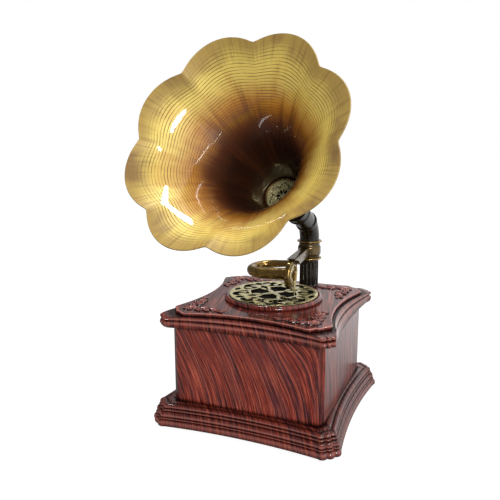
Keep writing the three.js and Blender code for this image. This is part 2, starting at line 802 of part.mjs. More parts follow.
// A round plate with openings cut through it
function piercedPlate(radius, thickness, openings, sides) {
  const tool = (points) => solid(new THREE.ExtrudeGeometry(new THREE.Shape(points), {
    depth: thickness + 2 * overrun,
    bevelEnabled: false,
  })).translate([0, 0, -overrun]);
  return cut(rod(radius, 0, thickness, sides), ...openings.map(tool));
}

// The disc: leaves on the axes, paired scrolls between them, inside a plain rim
function scrollDisc() {
  const field = discRadius - discRim;
  const half = Math.PI / discOrder;
  const openings = [];
  for (let i = 0; i < discOrder; i += 1) {
    const axis = (2 * Math.PI * i) / discOrder;
    const between = axis + half;
    const scroll = (distance, turn, size, start, sweep) => {
      const angle = axis + turn;
      return scrollHole(field * distance * Math.cos(angle), field * distance * Math.sin(angle), field * size,
        angle + start, sweep, field * 0.13, field * 0.05);
    };
    const inner = scroll(0.78, half * 0.42, 0.13, -0.2, 4.2);
    const outer = scroll(0.66, half * 0.72, 0.1, 2.2, -3.6);
    openings.push(
      leafHole(axis, field * 0.16, field * 0.55, field * 0.24, 5),
      leafHole(axis, field * 0.64, field * 0.95, field * 0.13, 4),
      inner,
      mirrored(inner, axis),
      leafHole(between, field * 0.36, field * 0.56, field * 0.14, 4),
      outer,
      mirrored(outer, between),
      leafHole(between, field * 0.82, field * 0.97, field * 0.16, 4),
    );
  }
  return piercedPlate(discRadius, discThickness, openings, 48);
}

// The throat rosette: leaves round the centre and short scrolls between them
function rosette(radius) {
  const field = radius - throatRingWidth;
  const openings = Array.from({ length: rosetteOrder }, (_, i) => {
    const axis = (2 * Math.PI * i) / rosetteOrder;
    return [leafHole(axis, field * 0.2, field * 0.62, field * 0.2, 4),
      leafHole(axis + Math.PI / rosetteOrder, field * 0.55, field * 0.98, field * 0.3, 4)];
  });
  return piercedPlate(radius, rosetteThickness, openings.flat(), 24);
}

// Bezel, cloth and pierced disc over the loudspeaker
function addDisc(parent) {
  const at = (body) => body.translate([0, speakerY, 0]);
  const bottom = panelTop + seat;
  const inner = discRadius + discGap;
  const bezel = turned([
    [inner - ledgeWidth, bottom], [bezelRadius - bezelNose / 2, bottom],
    [bezelRadius, bottom + bezelNose / 2], [bezelRadius, bezelTop - bezelNose],
    [bezelRadius - bezelNose / 3, bezelTop - bezelNose / 3],
    [bezelRadius - bezelNose, bezelTop], [inner, bezelTop - bezelNose / 4], [inner, clothBottom - seat],
    [inner - ledgeWidth, clothBottom - seat],
  ], 40);
  place(parent, 'disc_bezel', at(bezel), rosewood());
  const cloth = rod(discRadius, clothBottom, clothBottom + clothThickness, 32);
  place(parent, 'speaker_cloth', at(cloth), blackCloth());
  place(parent, 'pierced_disc', at(scrollDisc().translate([0, 0, discTop - discThickness])), paleGold());
}

// Fluted column with its tail through the lid, and the nut that holds it
function addColumn(parent) {
  const sides = fluteCount * stepsPerFlute;
  const ring = (radius, depth, z) => Array.from({ length: sides }, (_, i) => {
    const dip = Math.sin((Math.PI * (i % stepsPerFlute)) / stepsPerFlute);
    const angle = (2 * Math.PI * i) / sides;
    const r = radius - depth * dip;
    return new THREE.Vector3(r * Math.cos(angle), r * Math.sin(angle), z);
  });
  const bottom = panelTop + seat;
  const tailBottom = cabinetTop + seat;
  const shaft = skinned([
    ring(columnRadius, fluteDepth, bottom), ring(columnRadius, fluteDepth, columnTop - 2 * fluteTop),
    ring(columnRadius, 0, columnTop - fluteTop), ring(columnRadius, 0, columnTop - seat),
  ]);
  const tail = rod(tailRadius, tailBottom, panelTop + overrun, 12);
  const socket = rod(columnBore, columnTop - spigotDepth - fit, columnTop + overrun, 20);
  const wireWay = rod(tailBore, tailBottom - overrun, columnTop, 12);
  const at = (body) => body.translate([columnX, columnY, 0]);
  place(parent, 'column', at(cut(join(shaft, tail), socket, wireWay)), darkBronze());
  const nut = cut(rod(nutRadius, cabinetTop + seat, cabinetTop + seat + nutHeight, 6),
    rod(tailRadius + fit, cabinetTop - overrun, cabinetTop + nutHeight + overrun, 12));
  place(parent, 'column_nut', at(nut), steel());
}

// A turned ring round the spigot
function addCollar(parent, name, bottom) {
  const [low, high] = [bottom + seat, bottom + collarHeight - seat];
  const bore = spigotRadius + fit;
  const ring = turned([
    [bore, low], [collarRadius - collarHeight / 2, low], [collarRadius, low + collarHeight * 0.3],
    [collarRadius, high - collarHeight * 0.3], [collarRadius - collarHeight / 2, high], [bore, high],
  ], 20);
  place(parent, name, ring.translate([columnX, columnY, 0]), darkBronze());
}

// The tapered loop from the soundbox, round to the left and back up to the bar's side
function gooseneck() {
  const up = new THREE.Vector3(0, 0, 1);
  const stations = [[
    new THREE.Vector3(soundboxX - soundboxThickness / 2 - seat, soundboxY, 0),
    new THREE.Vector3(-1, 0, 0),
  ]];
  const sweep = THREE.MathUtils.degToRad(gooseneckSweep);
  for (let i = 0; i <= gooseneckSteps; i += 1) {
    const angle = -Math.PI / 2 - (sweep * i) / gooseneckSteps;
    stations.push([
      new THREE.Vector3(
        gooseneckBendX + gooseneckBend * Math.cos(angle),
        soundboxY + gooseneckBend + gooseneckBend * Math.sin(angle),
        0,
      ),
      new THREE.Vector3(Math.sin(angle), -Math.cos(angle), 0),
    ]);
  }
  const barSide = barX - barWidth / 2 - seat;
  stations.push([new THREE.Vector3(barSide, gooseneckEndY, 0), new THREE.Vector3(1, 0, 0)]);
  const lengths = stations.map(([point], i) => (i ? point.distanceTo(stations[i - 1][0]) : 0));
  const total = lengths.reduce((sum, length) => sum + length);
  let run = 0;
  return skinned(stations.map(([point, direction], i) => {
    run += lengths[i];
    const share = run / total;
    const height = gooseneckRise + gooseneckClimb * share ** climbPower
      - gooseneckDip * Math.sin(Math.PI * share);
    const centre = point.clone().addScaledVector(up, height);
    const radius = gooseneckFat + (gooseneckThin - gooseneckFat) * share;
    return ringAt(centre, direction, up, radius, gooseneckSides);
  }));
}

// Arm sleeve, bar, gooseneck, soundbox and needle, all turning about the column
function addTonearm(parent) {
  const sleeve = turned([
    [sleeveBore, sleeveBottom + seat], [sleeveWaist, sleeveBottom + seat],
    [sleeveWaist, sleeveBottom + sleeveHeight * 0.12], [sleeveRadius, sleeveBottom + sleeveHeight * 0.3],
    [sleeveRadius, sleeveBottom + sleeveHeight * 0.62], [sleeveWaist, sleeveBottom + sleeveHeight * 0.82],
    [sleeveWaist, sleeveTop - seat], [sleeveBore, sleeveTop - seat],
  ], 20);
  place(parent, 'arm_sleeve', sleeve.translate([columnX, columnY, 0]), antiqueBrass());

  const barRootZ = sleeveBottom + barRise;
  const barRootY = columnY - sleeveRadius + armRootInset;
  const barLength = barRootY - barEndY;
  const section = new THREE.Shape();
  const [w, h, e] = [barWidth / 2, barHeight / 2, barEdge];
  section.moveTo(e - w, -h);
  [[w - e, -h], [w, e - h], [w, h - e], [w - e, h], [e - w, h], [-w, h - e], [-w, e - h]]
    .forEach(([x, y]) => section.lineTo(x, y));
  const slope = Math.atan2(barDrop, barLength);
  const bar = solid(new THREE.ExtrudeGeometry(section, {
    depth: Math.hypot(barLength, barDrop),
    bevelEnabled: false,
  })).rotate([90 + THREE.MathUtils.radToDeg(slope), 0, 0]).translate([barX, barRootY, barRootZ]);
  const sleeveRoom = rod(sleeveRadius + fit, sleeveBottom - overrun, sleeveTop + overrun, 20)
    .translate([columnX, columnY, 0]);
  const upright = (body) => body.rotate([0, 90, 0]).translate([soundboxX, soundboxY, soundboxZ]);
  const saddle = upright(rod(soundboxRadius + seat, -barWidth, barWidth, 28));
  place(parent, 'tonearm_bar', cut(bar, sleeveRoom, saddle), antiqueBrass());
  place(parent, 'gooseneck', gooseneck(), antiqueBrass());

  const t = soundboxThickness / 2;
  const shell = turned([[0, -t], [soundboxRadius - soundboxRim, -t], [soundboxRadius, soundboxRim - t],
    [soundboxRadius, t - soundboxRim], [soundboxRadius - soundboxRim, t], [0, t]], 28);
  place(parent, 'soundbox', upright(shell), antiqueBrass());
  const face = t + seat;
  const ring = turned([[ringRadius, face], [ringRadius, face + ringHeight / 2],
    [ringRadius - ringThickness / 2, face + ringHeight], [ringRadius - ringThickness, face + ringHeight / 2],
    [ringRadius - ringThickness, face]], 24);
  place(parent, 'soundbox_ring', upright(ring), antiqueBrass());

  const tipZ = discTop + needleTipGap;
  const needleTop = tipZ + needleLength;
  const needleX = soundboxX + face + ringHeight + fit + holderRadius;
  const holderBottom = tipZ + holderRise;
  const holder = rod(holderRadius, holderBottom, holderBottom + holderLength, 12)
    .translate([needleX, needleY, 0]);
  const bracket = block([soundboxX + face, needleY - holderRadius / 2, needleTop - holderRadius],
    [needleX, needleY + holderRadius / 2, needleTop + holderRadius]);
  const needleRoom = rod(needleRadius + seat, holderBottom - overrun, needleTop + seat, 10)
    .translate([needleX, needleY, 0]);
  place(parent, 'needle_holder', cut(join(holder, bracket), needleRoom), antiqueBrass());
  const needle = turned([[0, tipZ], [needleTipRadius, tipZ], [needleRadius, tipZ + needleLength / 2],
    [needleRadius, needleTop], [0, needleTop]], 10);
  place(parent, 'needle', needle.translate([needleX, needleY, 0]), paleGold());
}

// Direction of the horn's axis and the side vector square to it and level
const hornAim = new THREE.Vector3(
  Math.sin(THREE.MathUtils.degToRad(hornTurn)) * Math.cos(THREE.MathUtils.degToRad(hornTilt)),
  -Math.cos(THREE.MathUtils.degToRad(hornTurn)) * Math.cos(THREE.MathUtils.degToRad(hornTilt)),
  Math.sin(THREE.MathUtils.degToRad(hornTilt)),
);
const hornSide = new THREE.Vector3(0, 0, 1).cross(hornAim).normalize();
const hornUp = new THREE.Vector3().crossVectors(hornAim, hornSide);

// Neck: a spigot through the collars into the column, and an elbow towards the horn
function addNeck(parent) {
  const up = new THREE.Vector3(0, 0, 1);
  const bend = Math.acos(hornAim.dot(up));
  const tangent = elbowBend * Math.tan(bend / 2);
  const corner = new THREE.Vector3(0, 0, elbowZ);
  const bendStart = corner.clone().addScaledVector(up, -tangent);
  const forward = new THREE.Vector3().crossVectors(hornSide, up).normalize();
  if (forward.dot(hornAim) < 0) forward.negate();
  const centre = bendStart.clone().addScaledVector(forward, elbowBend);
  const stations = [[new THREE.Vector3(0, 0, neckBottom + seat), up]];
  for (let i = 0; i <= elbowSteps; i += 1) {
    const angle = (bend * i) / elbowSteps;
    stations.push([
      centre.clone().addScaledVector(forward, -elbowBend * Math.cos(angle))
        .addScaledVector(up, elbowBend * Math.sin(angle)),
      up.clone().multiplyScalar(Math.cos(angle)).addScaledVector(forward, Math.sin(angle)),
    ]);
  }
  stations.push([corner.clone().addScaledVector(hornAim, tangent + elbowStraight), hornAim]);
  const loop = ([point, direction], radius) => ringAt(point, direction, hornSide, radius, elbowSides);
  const outer = skinned(stations.map((station) => loop(station, elbowRadius)));
  const inner = skinned(stations.map((station) => loop(station, elbowRadius - elbowWall)));
  const spigot = rod(spigotRadius, columnTop - spigotDepth, neckBottom + elbowWall, 20);
  const floor = rod(elbowRadius - elbowWall / 2, neckBottom + seat, neckBottom + elbowWall, elbowSides);
  const wireWay = rod(spigotRadius - spigotWall, columnTop - spigotDepth - overrun,
    neckBottom + 2 * elbowWall, 12);
  const at = (body) => body.translate([elbowX, elbowY, 0]);
  const mouthReaches = [tangent + elbowStraight - seat, tangent + elbowStraight + overrun];
  const mouth = skinned(mouthReaches.map((reach) => loop(
    [corner.clone().addScaledVector(hornAim, reach), hornAim],
    elbowRadius - elbowWall,
  )));
  place(parent, 'neck_elbow', at(cut(join(cut(outer, inner, mouth), floor, spigot), wireWay)), darkBronze());

  const [middle, axis] = stations[bandStep + 1];
  const bandSection = [[-0.5, bandBore], [0.5, bandBore], [0.5, bandEdge], [0.2, bandRadius],
    [-0.2, bandRadius], [-0.5, bandEdge]];
  const band = skinned(bandSection.map(([along, radius]) => loop(
    [middle.clone().addScaledVector(axis, along * bandWidth), axis], radius)), true);
  place(parent, 'neck_band', at(band), antiqueBrass());
}

// The horn's own frame: its origin at the elbow's centre, +Z along the horn
function hornFrame() {
  const group = new THREE.Group();
  group.position.set(elbowX, elbowY, elbowZ);
  group.setRotationFromMatrix(new THREE.Matrix4().makeBasis(hornSide, hornUp, hornAim));
  return group;
}

// Inner radius of the horn at a reach along its axis, without petals
function boreAt(reach) {
  if (reach <= throatReach) {
    const share = (reach - hornStart) / (throatReach - hornStart);
    return hornStartRadius + (throatRadius - hornStartRadius) * share;
  }
  const share = (reach - throatReach) / (hornReach - throatReach);
  const growth = (Math.exp(hornFlare * share) - 1) / (Math.exp(hornFlare) - 1);
  return throatRadius + (hornRadius - throatRadius) * growth;
}

// One ring of the horn: round at the throat, with petals that grow towards the mouth
function hornRing(reach, wall) {
  const sides = petalCount * stepsPerPetal;
  const step = (hornReach - hornStart) / (bellSteps * bellSteps);
  const slope = (boreAt(Math.min(reach + step, hornReach)) - boreAt(Math.max(reach - step, hornStart)))
    / (Math.min(reach + step, hornReach) - Math.max(reach - step, hornStart));
  const tilt = Math.atan(slope);
  const bloom = Math.max(0, (boreAt(reach) - throatRadius) / (hornRadius - throatRadius));
  return Array.from({ length: sides }, (_, i) => {
    const angle = (2 * Math.PI * i) / sides;
    const swell = Math.abs(Math.sin((petalCount / 2) * angle)) ** petalPower;
    const radius = boreAt(reach) + petalRise * swell * bloom ** (1 + creaseShare);
    const lift = petalLift * swell * bloom;
    const r = radius + wall * Math.cos(tilt);
    const z = reach + lift - wall * Math.sin(tilt);
    return new THREE.Vector3(r * Math.cos(angle), r * Math.sin(angle), z);
  });
}

function addHorn(parent) {
  const frame = hornFrame();
  parent.add(frame);
  const reaches = [hornStart];
  for (let i = 0; i <= bellSteps; i += 1) {
    const share = i / bellSteps;
    reaches.push(throatReach + (hornReach - throatReach) * (1 - (1 - share) ** bellCrowding));
  }
  const inside = reaches.map((reach) => hornRing(reach, 0));
  const outside = reaches.map((reach) => hornRing(reach, hornWall)).reverse();
  place(frame, 'horn', skinned([...inside, ...outside], true), hornBrass());

  const neckEnd = elbowBend * Math.tan(Math.acos(hornAim.z) / 2) + elbowStraight;
  const socketStart = neckEnd - socketLap;
  const socketEnd = socketStart + socketLength;
  const hornOuter = (reach) => boreAt(reach) + hornWall;
  const socket = turned([
    [elbowRadius + fit, socketStart], [socketRadius - socketLip, socketStart],
    [socketRadius, socketStart + socketLip], [socketRadius - socketLip, socketStart + 2 * socketLip],
    [socketRadius - socketLip / 2, socketEnd - 2 * socketLip],
    [socketRadius + socketLip, socketEnd - socketLip], [socketRadius + socketLip, socketEnd],
    [hornOuter(socketEnd) + fit, socketEnd],
    [hornOuter(hornStart) + fit, hornStart - fit], [elbowRadius + fit, hornStart - fit],
  ], 20);
  place(frame, 'horn_socket', socket, darkBronze());

  const seatReach = throatReach - throatRingHeight;
  const ringOuter = boreAt(seatReach) - fit;
  const ring = turned([[ringOuter - throatRingWidth, seatReach], [ringOuter, seatReach],
    [ringOuter, seatReach + throatRingHeight * 0.6],
    [ringOuter - throatRingWidth / 2, seatReach + throatRingHeight],
    [ringOuter - throatRingWidth, seatReach + throatRingHeight * 0.6]], 24);
  place(frame, 'throat_ring', ring, antiqueBrass());
  const rosetteRadius = ringOuter - throatRingWidth - fit;
  place(frame, 'throat_rosette', rosette(rosetteRadius).translate([0, 0, seatReach + fit]), paleGold());
  const clothTop = seatReach;
  const cloth = rod(rosetteRadius, clothTop - throatClothThickness, clothTop, 24);
  place(frame, 'throat_cloth', cloth, blackCloth());
  const driverTop = clothTop - throatClothThickness - fit;
  const flange = boreAt(driverTop - driverFlange) - fit;
  const driver = turned([[0, driverTop], [flange, driverTop], [flange, driverTop - driverFlange],
    [driverRadius, driverTop - driverFlange], [driverRadius * 0.7, driverTop - driverDepth],
    [0, driverTop - driverDepth]], 20);
  place(frame, 'horn_driver', driver, magnetGrey());
}

// Assembly
const root = new THREE.Group();
root.name = 'record_player';
addBase(root);
addCabinet(root);
addControls(root);
addBattery(root);
addLid(root);
addSpeaker(root);
addDisc(root);
addColumn(root);
addCollar(root, 'lower_collar', columnTop);
addTonearm(root);
addCollar(root, 'upper_collar', sleeveTop);
addNeck(root);
addHorn(root);

// The origin stands on the ground under the middle of the whole object
root.updateMatrixWorld(true);
const bounds = new THREE.Box3().setFromObject(root, true);
root.position.set(-(bounds.min.x + bounds.max.x) / 2, -(bounds.min.y + bounds.max.y) / 2, 0);
root.updateMatrixWorld(true);

export default root;
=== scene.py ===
import math

import bmesh
import bpy
from bpy.props import FloatProperty, FloatVectorProperty, IntProperty, PointerProperty
from mathutils import Matrix, Quaternion, Vector


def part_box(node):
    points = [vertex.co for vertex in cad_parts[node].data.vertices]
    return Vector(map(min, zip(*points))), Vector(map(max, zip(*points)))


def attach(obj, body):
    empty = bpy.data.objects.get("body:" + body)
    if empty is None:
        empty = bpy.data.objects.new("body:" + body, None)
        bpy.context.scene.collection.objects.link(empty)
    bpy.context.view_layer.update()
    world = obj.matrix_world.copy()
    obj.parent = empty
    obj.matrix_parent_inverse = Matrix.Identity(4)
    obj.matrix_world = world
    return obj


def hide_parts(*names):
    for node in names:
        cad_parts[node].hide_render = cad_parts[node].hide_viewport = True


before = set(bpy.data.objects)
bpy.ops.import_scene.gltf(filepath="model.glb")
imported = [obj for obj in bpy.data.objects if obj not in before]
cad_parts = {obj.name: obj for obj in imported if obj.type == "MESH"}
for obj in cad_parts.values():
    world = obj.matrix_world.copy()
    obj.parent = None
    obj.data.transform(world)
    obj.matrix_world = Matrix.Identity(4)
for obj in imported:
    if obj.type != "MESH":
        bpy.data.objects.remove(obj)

bl_info = {
    "name": "Gramophone-style record player",
    "version": (1, 0, 0),
    "blender": (4, 5, 0),
    "location": "3D View > Sidebar > Player",
    "description": "Builds the visible pieces and finishes of a horn-topped record player on its CAD frame",
    "category": "Object",
}

MM = 0.001
FULL_TURN = 2 * math.pi
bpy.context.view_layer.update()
CORNERS = ("front_left", "front_right", "rear_right", "rear_left")
MERGE_DISTANCE = 0.0005
NODE_SPACING = 220

BLACK = (0, 0, 0, 1)
WHITE = (1, 1, 1, 1)
# Near-black painted shade for the recesses of the wood.
PAINTED_SHADE = (0.004, 0.0005, 0.0005, 1)
PAPER = (0.86, 0.86, 0.86, 1)
THREAD_DARK = (0.002, 0.002, 0.002, 1)
THREAD_LIGHT = (0.02, 0.019, 0.018, 1)


def low_of(node):
    """A CAD node's lowest corner, in millimetres."""
    return Vector(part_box(node)[0]) / MM


def high_of(node):
    """A CAD node's highest corner, in millimetres."""
    return Vector(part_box(node)[1]) / MM


def middle_of(node):
    """The middle of a CAD node's box, in millimetres."""
    return (low_of(node) + high_of(node)) / 2


def clamped(value):
    """A number held between 0 and 1."""
    return min(1, max(0, value))


BASE_MIDDLE = middle_of("cabinet").xy.to_3d()
COLUMN_FOOT = middle_of("upper_collar").xy.to_3d()
SPEAKER_MIDDLE = middle_of("disc_bezel").xy.to_3d()


def millimetres(name, description, value):
    """A length setting, given in millimetres."""
    return FloatProperty(name=name, description=description, default=value * MM, unit="LENGTH")


def degrees(name, description, value):
    """An angle setting, given in degrees."""
    return FloatProperty(name=name, description=description, default=math.radians(value), subtype="ANGLE")


def colour(name, description, red, green, blue):
    """A colour setting, written as it is seen on a screen."""
    return FloatVectorProperty(name=name, description=description, subtype="COLOR_GAMMA", size=3,
                               min=0, max=1, default=(red / 255, green / 255, blue / 255))


class BaseSizes(bpy.types.PropertyGroup):
    """Sizes of the wooden base."""

    corner_lobes: IntProperty(name="Corner lobes", description="Lobes on each moulded corner", default=3)
    lobe_depth: millimetres("Lobe depth", "How far the lobes swell", 1.9)
    rear_hollow: FloatProperty(
        name="Rear hollow", description="Share of the hollow left on the rear side", default=0.12)
    carving_height: millimetres("Carving height", "Height of the carved corners", 1.6)


class HornSizes(bpy.types.PropertyGroup):
    """Sizes and aim of the horn."""

    turn: degrees("Turn", "Turn of the horn to the left of the front", 4.315)
    tilt: degrees("Tilt", "Tilt of the horn's axis above level", 27.45)
    elbow_rise: millimetres("Elbow rise", "Height of the horn's origin over the upper collar", 14.85)
    start: millimetres("Start", "Reach of the horn's narrow end", 41)
    start_radius: millimetres("Start radius", "Inner radius of the narrow end", 8.6)
    throat: millimetres("Throat", "Reach where the bell begins", 79.7)
    throat_radius: millimetres("Throat radius", "Inner radius of the throat", 17.6)
    mouth: millimetres("Mouth", "Reach of the mouth along the axis", 188.7)
    mouth_radius: millimetres("Mouth radius", "Radius of the creases at the mouth", 81.1)
    flare: FloatProperty(name="Flare", description="Growth rate of the bell", default=2.1)
    petals: IntProperty(name="Petals", description="Number of petals", default=8)
    petal_rise: millimetres("Petal rise", "Swell of a petal at the mouth", 9)
    petal_lift: millimetres("Petal lift", "Forward lift of a petal's middle", 1.35)
    wall: millimetres("Wall", "Thickness of the sheet", 1.1)


class PlayerColours(bpy.types.PropertyGroup):
    """Colours of the finishes."""

    wood_dark: colour("Wood, dark lines", "Darkest lines of the grain", 20, 3, 3)
    wood_mid: colour("Wood, middle", "Body of the wood", 130, 42, 32)
    wood_light: colour("Wood, light", "Light streaks", 208, 102, 76)
    wood_grey: colour("Wood, grey", "Grey-brown bands", 88, 40, 46)
    # A painted highlight, laid on the crests of the mouldings and carvings.
    wood_painted_highlight: colour("Wood, edges", "Rubbed edges of the mouldings", 214, 140, 128)
    carving: colour("Carving", "Carved wood on the crests", 160, 62, 46)
    horn_rim: colour("Horn, rim", "Toned metal at the rim", 186, 154, 76)
    horn_gold: colour("Horn, gold", "Bright metal of the bell", 240, 212, 106)
    horn_honey: colour("Horn, honey", "Metal half way into the bell", 188, 122, 24)
    horn_amber: colour("Horn, amber", "Toned metal towards the throat", 92, 42, 4)
    horn_throat: colour("Horn, throat", "Darkest toning of the throat", 42, 16, 2)
    horn_smudge: colour("Horn, smudges", "Brown tarnish near the rim", 116, 80, 52)
    antique: colour("Antique brass", "Brass of the arm", 166, 134, 74)
    aged: colour("Aged brass", "Darker brass of the bar and sleeve", 104, 84, 48)
    patina: colour("Patina", "Dark tone in the hollows of the brass", 22, 16, 6)
    bronze: colour("Dark bronze", "Bronze of the neck and column", 26, 22, 14)
    pale_gold: colour("Pale gold", "Pierced plates and needle", 216, 206, 150)
    plastic: colour("Plastic", "Black plastic", 22, 22, 22)
    steel: colour("Steel", "Plated steel", 176, 178, 182)


def linear(value):
    """A screen colour as linear light."""
    return tuple(((c + 0.055) / 1.055) ** 2.4 if c > 0.04045 else c / 12.92 for c in value)


def tone(value):
    """A colour setting by its name, or a plain linear colour, as an RGBA value for a shader."""
    if isinstance(value, str):
        value = linear(getattr(bpy.context.scene.player_colours, value))
    return (*value, 1)


class Graph:
    """A node tree, with short calls to add and join its nodes."""

    def __init__(self, tree):
        self.tree = tree

    def feed(self, socket, value):
        """Joins a socket to another, or sets its value."""
        if isinstance(value, bpy.types.NodeSocket):
            self.tree.links.new(value, socket)
        else:
            socket.default_value = value

    def fill(self, sockets, values):
        """Feeds several sockets by their names."""
        for name, value in values.items():
            self.feed(sockets[name], value)

    def add(self, kind, inputs=None, **settings):
        """Adds a node, with its settings and what goes into its sockets."""
        made = self.tree.nodes.new(kind)
        made.location = (NODE_SPACING * len(self.tree.nodes), 0)
        for name, value in settings.items():
            setattr(made, name, value)
        self.fill(made.inputs, inputs or {})
        return made

    def math(self, operation, first, second=0.0, clamp=False):
        """A sum, product or other single step on numbers."""
        made = self.add("ShaderNodeMath", {0: first, 1: second}, operation=operation, use_clamp=clamp)
        return made.outputs[0]

    def plus(self, first, second):
        """Two numbers added."""
        return self.math("ADD", first, second)

    def minus(self, first, second):
        """The second number taken from the first."""
        return self.math("SUBTRACT", first, second)

    def times(self, first, second):
        """Two numbers multiplied."""
        return self.math("MULTIPLY", first, second)

    def remap(self, value, low, high, to_low=0.0, to_high=1.0):
        """A number moved smoothly from one range to another."""
        made = self.add("ShaderNodeMapRange", {
            "Value": value, "From Min": low, "From Max": high, "To Min": to_low, "To Max": to_high,
        }, interpolation_type="SMOOTHSTEP")
        return made.outputs["Result"]

    def mix(self, factor, first, second):
        """Two colours mixed."""
        made = self.add("ShaderNodeMix", data_type="RGBA")
        self.feed(made.inputs[0], factor)
        self.feed(made.inputs[6], first)
        self.feed(made.inputs[7], second)
        return made.outputs[2]

    def tint(self, base, mask, share, shade):
        """A shade laid over a colour where a mask shows, at a share of its strength."""
        return self.mix(self.times(mask, share), base, shade)

    def noise(self, vector, scale, detail=3.0, roughness=0.55, distortion=0.0):
        """Cloudy noise between 0 and 1."""
        made = self.add("ShaderNodeTexNoise", {
            "Vector": vector, "Scale": scale, "Detail": detail, "Roughness": roughness,
            "Distortion": distortion,
        })
        return made.outputs["Fac"]

    def figure(self, vector, scales, detail=3.0, roughness=0.55):
        """Noise with its own scale along each way, so that it is drawn out where the scale is small."""
        drawn = self.add("ShaderNodeMapping", {"Vector": vector, "Scale": scales})
        return self.noise(drawn.outputs["Vector"], 1.0, detail, roughness)

    def vector(self, x, y, z=0.0):
        """Three numbers as a vector."""
        return self.add("ShaderNodeCombineXYZ", {"X": x, "Y": y, "Z": z}).outputs["Vector"]

    def points(self):
        """Object coordinates in millimetres."""
        made = self.add("ShaderNodeTexCoord")
        scaled = self.add("ShaderNodeVectorMath", {0: made.outputs["Object"]}, operation="SCALE")
        scaled.inputs["Scale"].default_value = 1 / MM
        return scaled.outputs["Vector"]

    def split(self):
        """Object coordinates in millimetres, as three numbers."""
        return self.add("ShaderNodeSeparateXYZ", {"Vector": self.points()}).outputs

    def attribute(self, name):
        """A number kept on the mesh."""
        return self.add("ShaderNodeAttribute", attribute_name=name).outputs["Fac"]

    def group(self, tree, inputs):
        """A shared effect, placed with its own values."""
        made = self.add("ShaderNodeGroup", inputs, node_tree=tree)
        return made.outputs


def start_group(name, inputs, outputs):
    """A new shared node group: its tree, its graph, and the sockets that come in and go out."""
    tree = bpy.data.node_groups.new(name, "ShaderNodeTree")
    kinds = {"value": "NodeSocketFloat", "vector": "NodeSocketVector", "colour": "NodeSocketColor"}
    for socket, (kind, default) in inputs.items():
        made = tree.interface.new_socket(name=socket, in_out="INPUT", socket_type=kinds[kind])
        if default is not None:
            made.default_value = default
    for socket, kind in outputs.items():
        tree.interface.new_socket(name=socket, in_out="OUTPUT", socket_type=kinds[kind])
    graph = Graph(tree)
    source = graph.add("NodeGroupInput").outputs
    sink = graph.add("NodeGroupOutput").inputs
    return tree, graph, source, sink


def grain_group():
    """Streaked rosewood figure. Across and Along are millimetres over and down the grain."""
    tree, graph, source, sink = start_group("Rosewood figure", {
        "Across": ("value", 0.0), "Along": ("value", 0.0),
        "Dark": ("colour", BLACK), "Middle": ("colour", BLACK),
        "Light": ("colour", BLACK), "Grey": ("colour", BLACK),
    }, {"Color": "colour", "Height": "value", "Roughness": "value"})
    flat = graph.vector(source["Across"], source["Along"])
    sway = graph.figure(flat, (0.03, 0.014, 1), 2.0)
    bent = graph.plus(source["Across"], graph.times(sway, 3.0))
    lines = graph.vector(bent, source["Along"])
    bands = graph.figure(lines, (0.11, 0.008, 1), 3.0, 0.6)
    streaks = graph.figure(lines, (0.5, 0.013, 1), 4.0, 0.7)
    threads = graph.figure(lines, (1.5, 0.025, 1), 4.0, 0.75)
    pore = graph.remap(graph.figure(lines, (3.2, 0.16, 1), 2.0, 0.6), 0.38, 0.28)
    body = graph.mix(graph.remap(bands, 0.4, 0.6), source["Grey"], source["Middle"])
    body = graph.mix(graph.remap(streaks, 0.48, 0.68), body, source["Light"])
    for mask, share, shade in (
            (graph.remap(streaks, 0.46, 0.36), 0.8, "Dark"),
            (graph.remap(threads, 0.5, 0.4), 0.85, "Dark"),
            (graph.remap(threads, 0.54, 0.62), 0.7, "Light"),
            (pore, 0.5, "Dark")):
        body = graph.tint(body, mask, share, source[shade])
    graph.fill(sink, {"Color": body, "Height": graph.minus(threads, pore),
                      "Roughness": graph.remap(streaks, 0.3, 0.7, 0.42, 0.3)})
    return tree


def patina_group():
    """Blotchy toning and brushed scratches for metal, in millimetres."""
    tree, graph, source, sink = start_group("Patina", {
        "Vector": ("vector", None), "Blotch": ("value", 0.12), "Grain": ("value", 2.0),
        "Bright": ("colour", WHITE), "Dark": ("colour", BLACK),
        "Hollow": ("value", 0.0), "Amount": ("value", 0.5),
    }, {"Color": "colour", "Roughness": "value", "Height": "value"})
    clouds = graph.noise(source["Vector"], source["Blotch"], 5.0, 0.62, 0.4)
    specks = graph.noise(source["Vector"], source["Grain"], 4.0, 0.7)
    toned = graph.times(graph.remap(clouds, 0.42, 0.7), source["Amount"])
    toned = graph.plus(toned, graph.times(graph.remap(specks, 0.5, 0.8), 0.3))
    toned = graph.math("MAXIMUM", toned, source["Hollow"], clamp=True)
    graph.fill(sink, {"Color": graph.mix(toned, source["Bright"], source["Dark"]), "Height": specks,
                      "Roughness": graph.remap(toned, 0.0, 1.0, 0.24, 0.5)})
    return tree


def speckle_group():
    """Fine moulded or woven surface noise, in millimetres."""
    tree, graph, source, sink = start_group("Speckle", {
        "Vector": ("vector", None), "Size": ("value", 1.0), "Base": ("colour", BLACK),
        "Spread": ("value", 0.2),
    }, {"Color": "colour", "Roughness": "value", "Height": "value"})
    specks = graph.noise(source["Vector"], graph.math("DIVIDE", 1.0, source["Size"]), 3.0, 0.6)
    shade = graph.times(graph.minus(specks, 0.5), source["Spread"])
    scaled = graph.add("ShaderNodeVectorMath", {0: source["Base"]}, operation="SCALE")
    graph.feed(scaled.inputs["Scale"], graph.plus(graph.times(shade, 3.0), 1.0))
    graph.fill(sink, {"Color": scaled.outputs["Vector"], "Height": specks,
                      "Roughness": graph.remap(specks, 0.2, 0.8, 0.35, 0.6)})
    return tree


GROUP_BUILDERS = {"Rosewood figure": grain_group, "Patina": patina_group, "Speckle": speckle_group}


def shared(name):
    """A shared node group by its name, built the first time."""
    return bpy.data.node_groups.get(name) or GROUP_BUILDERS[name]()


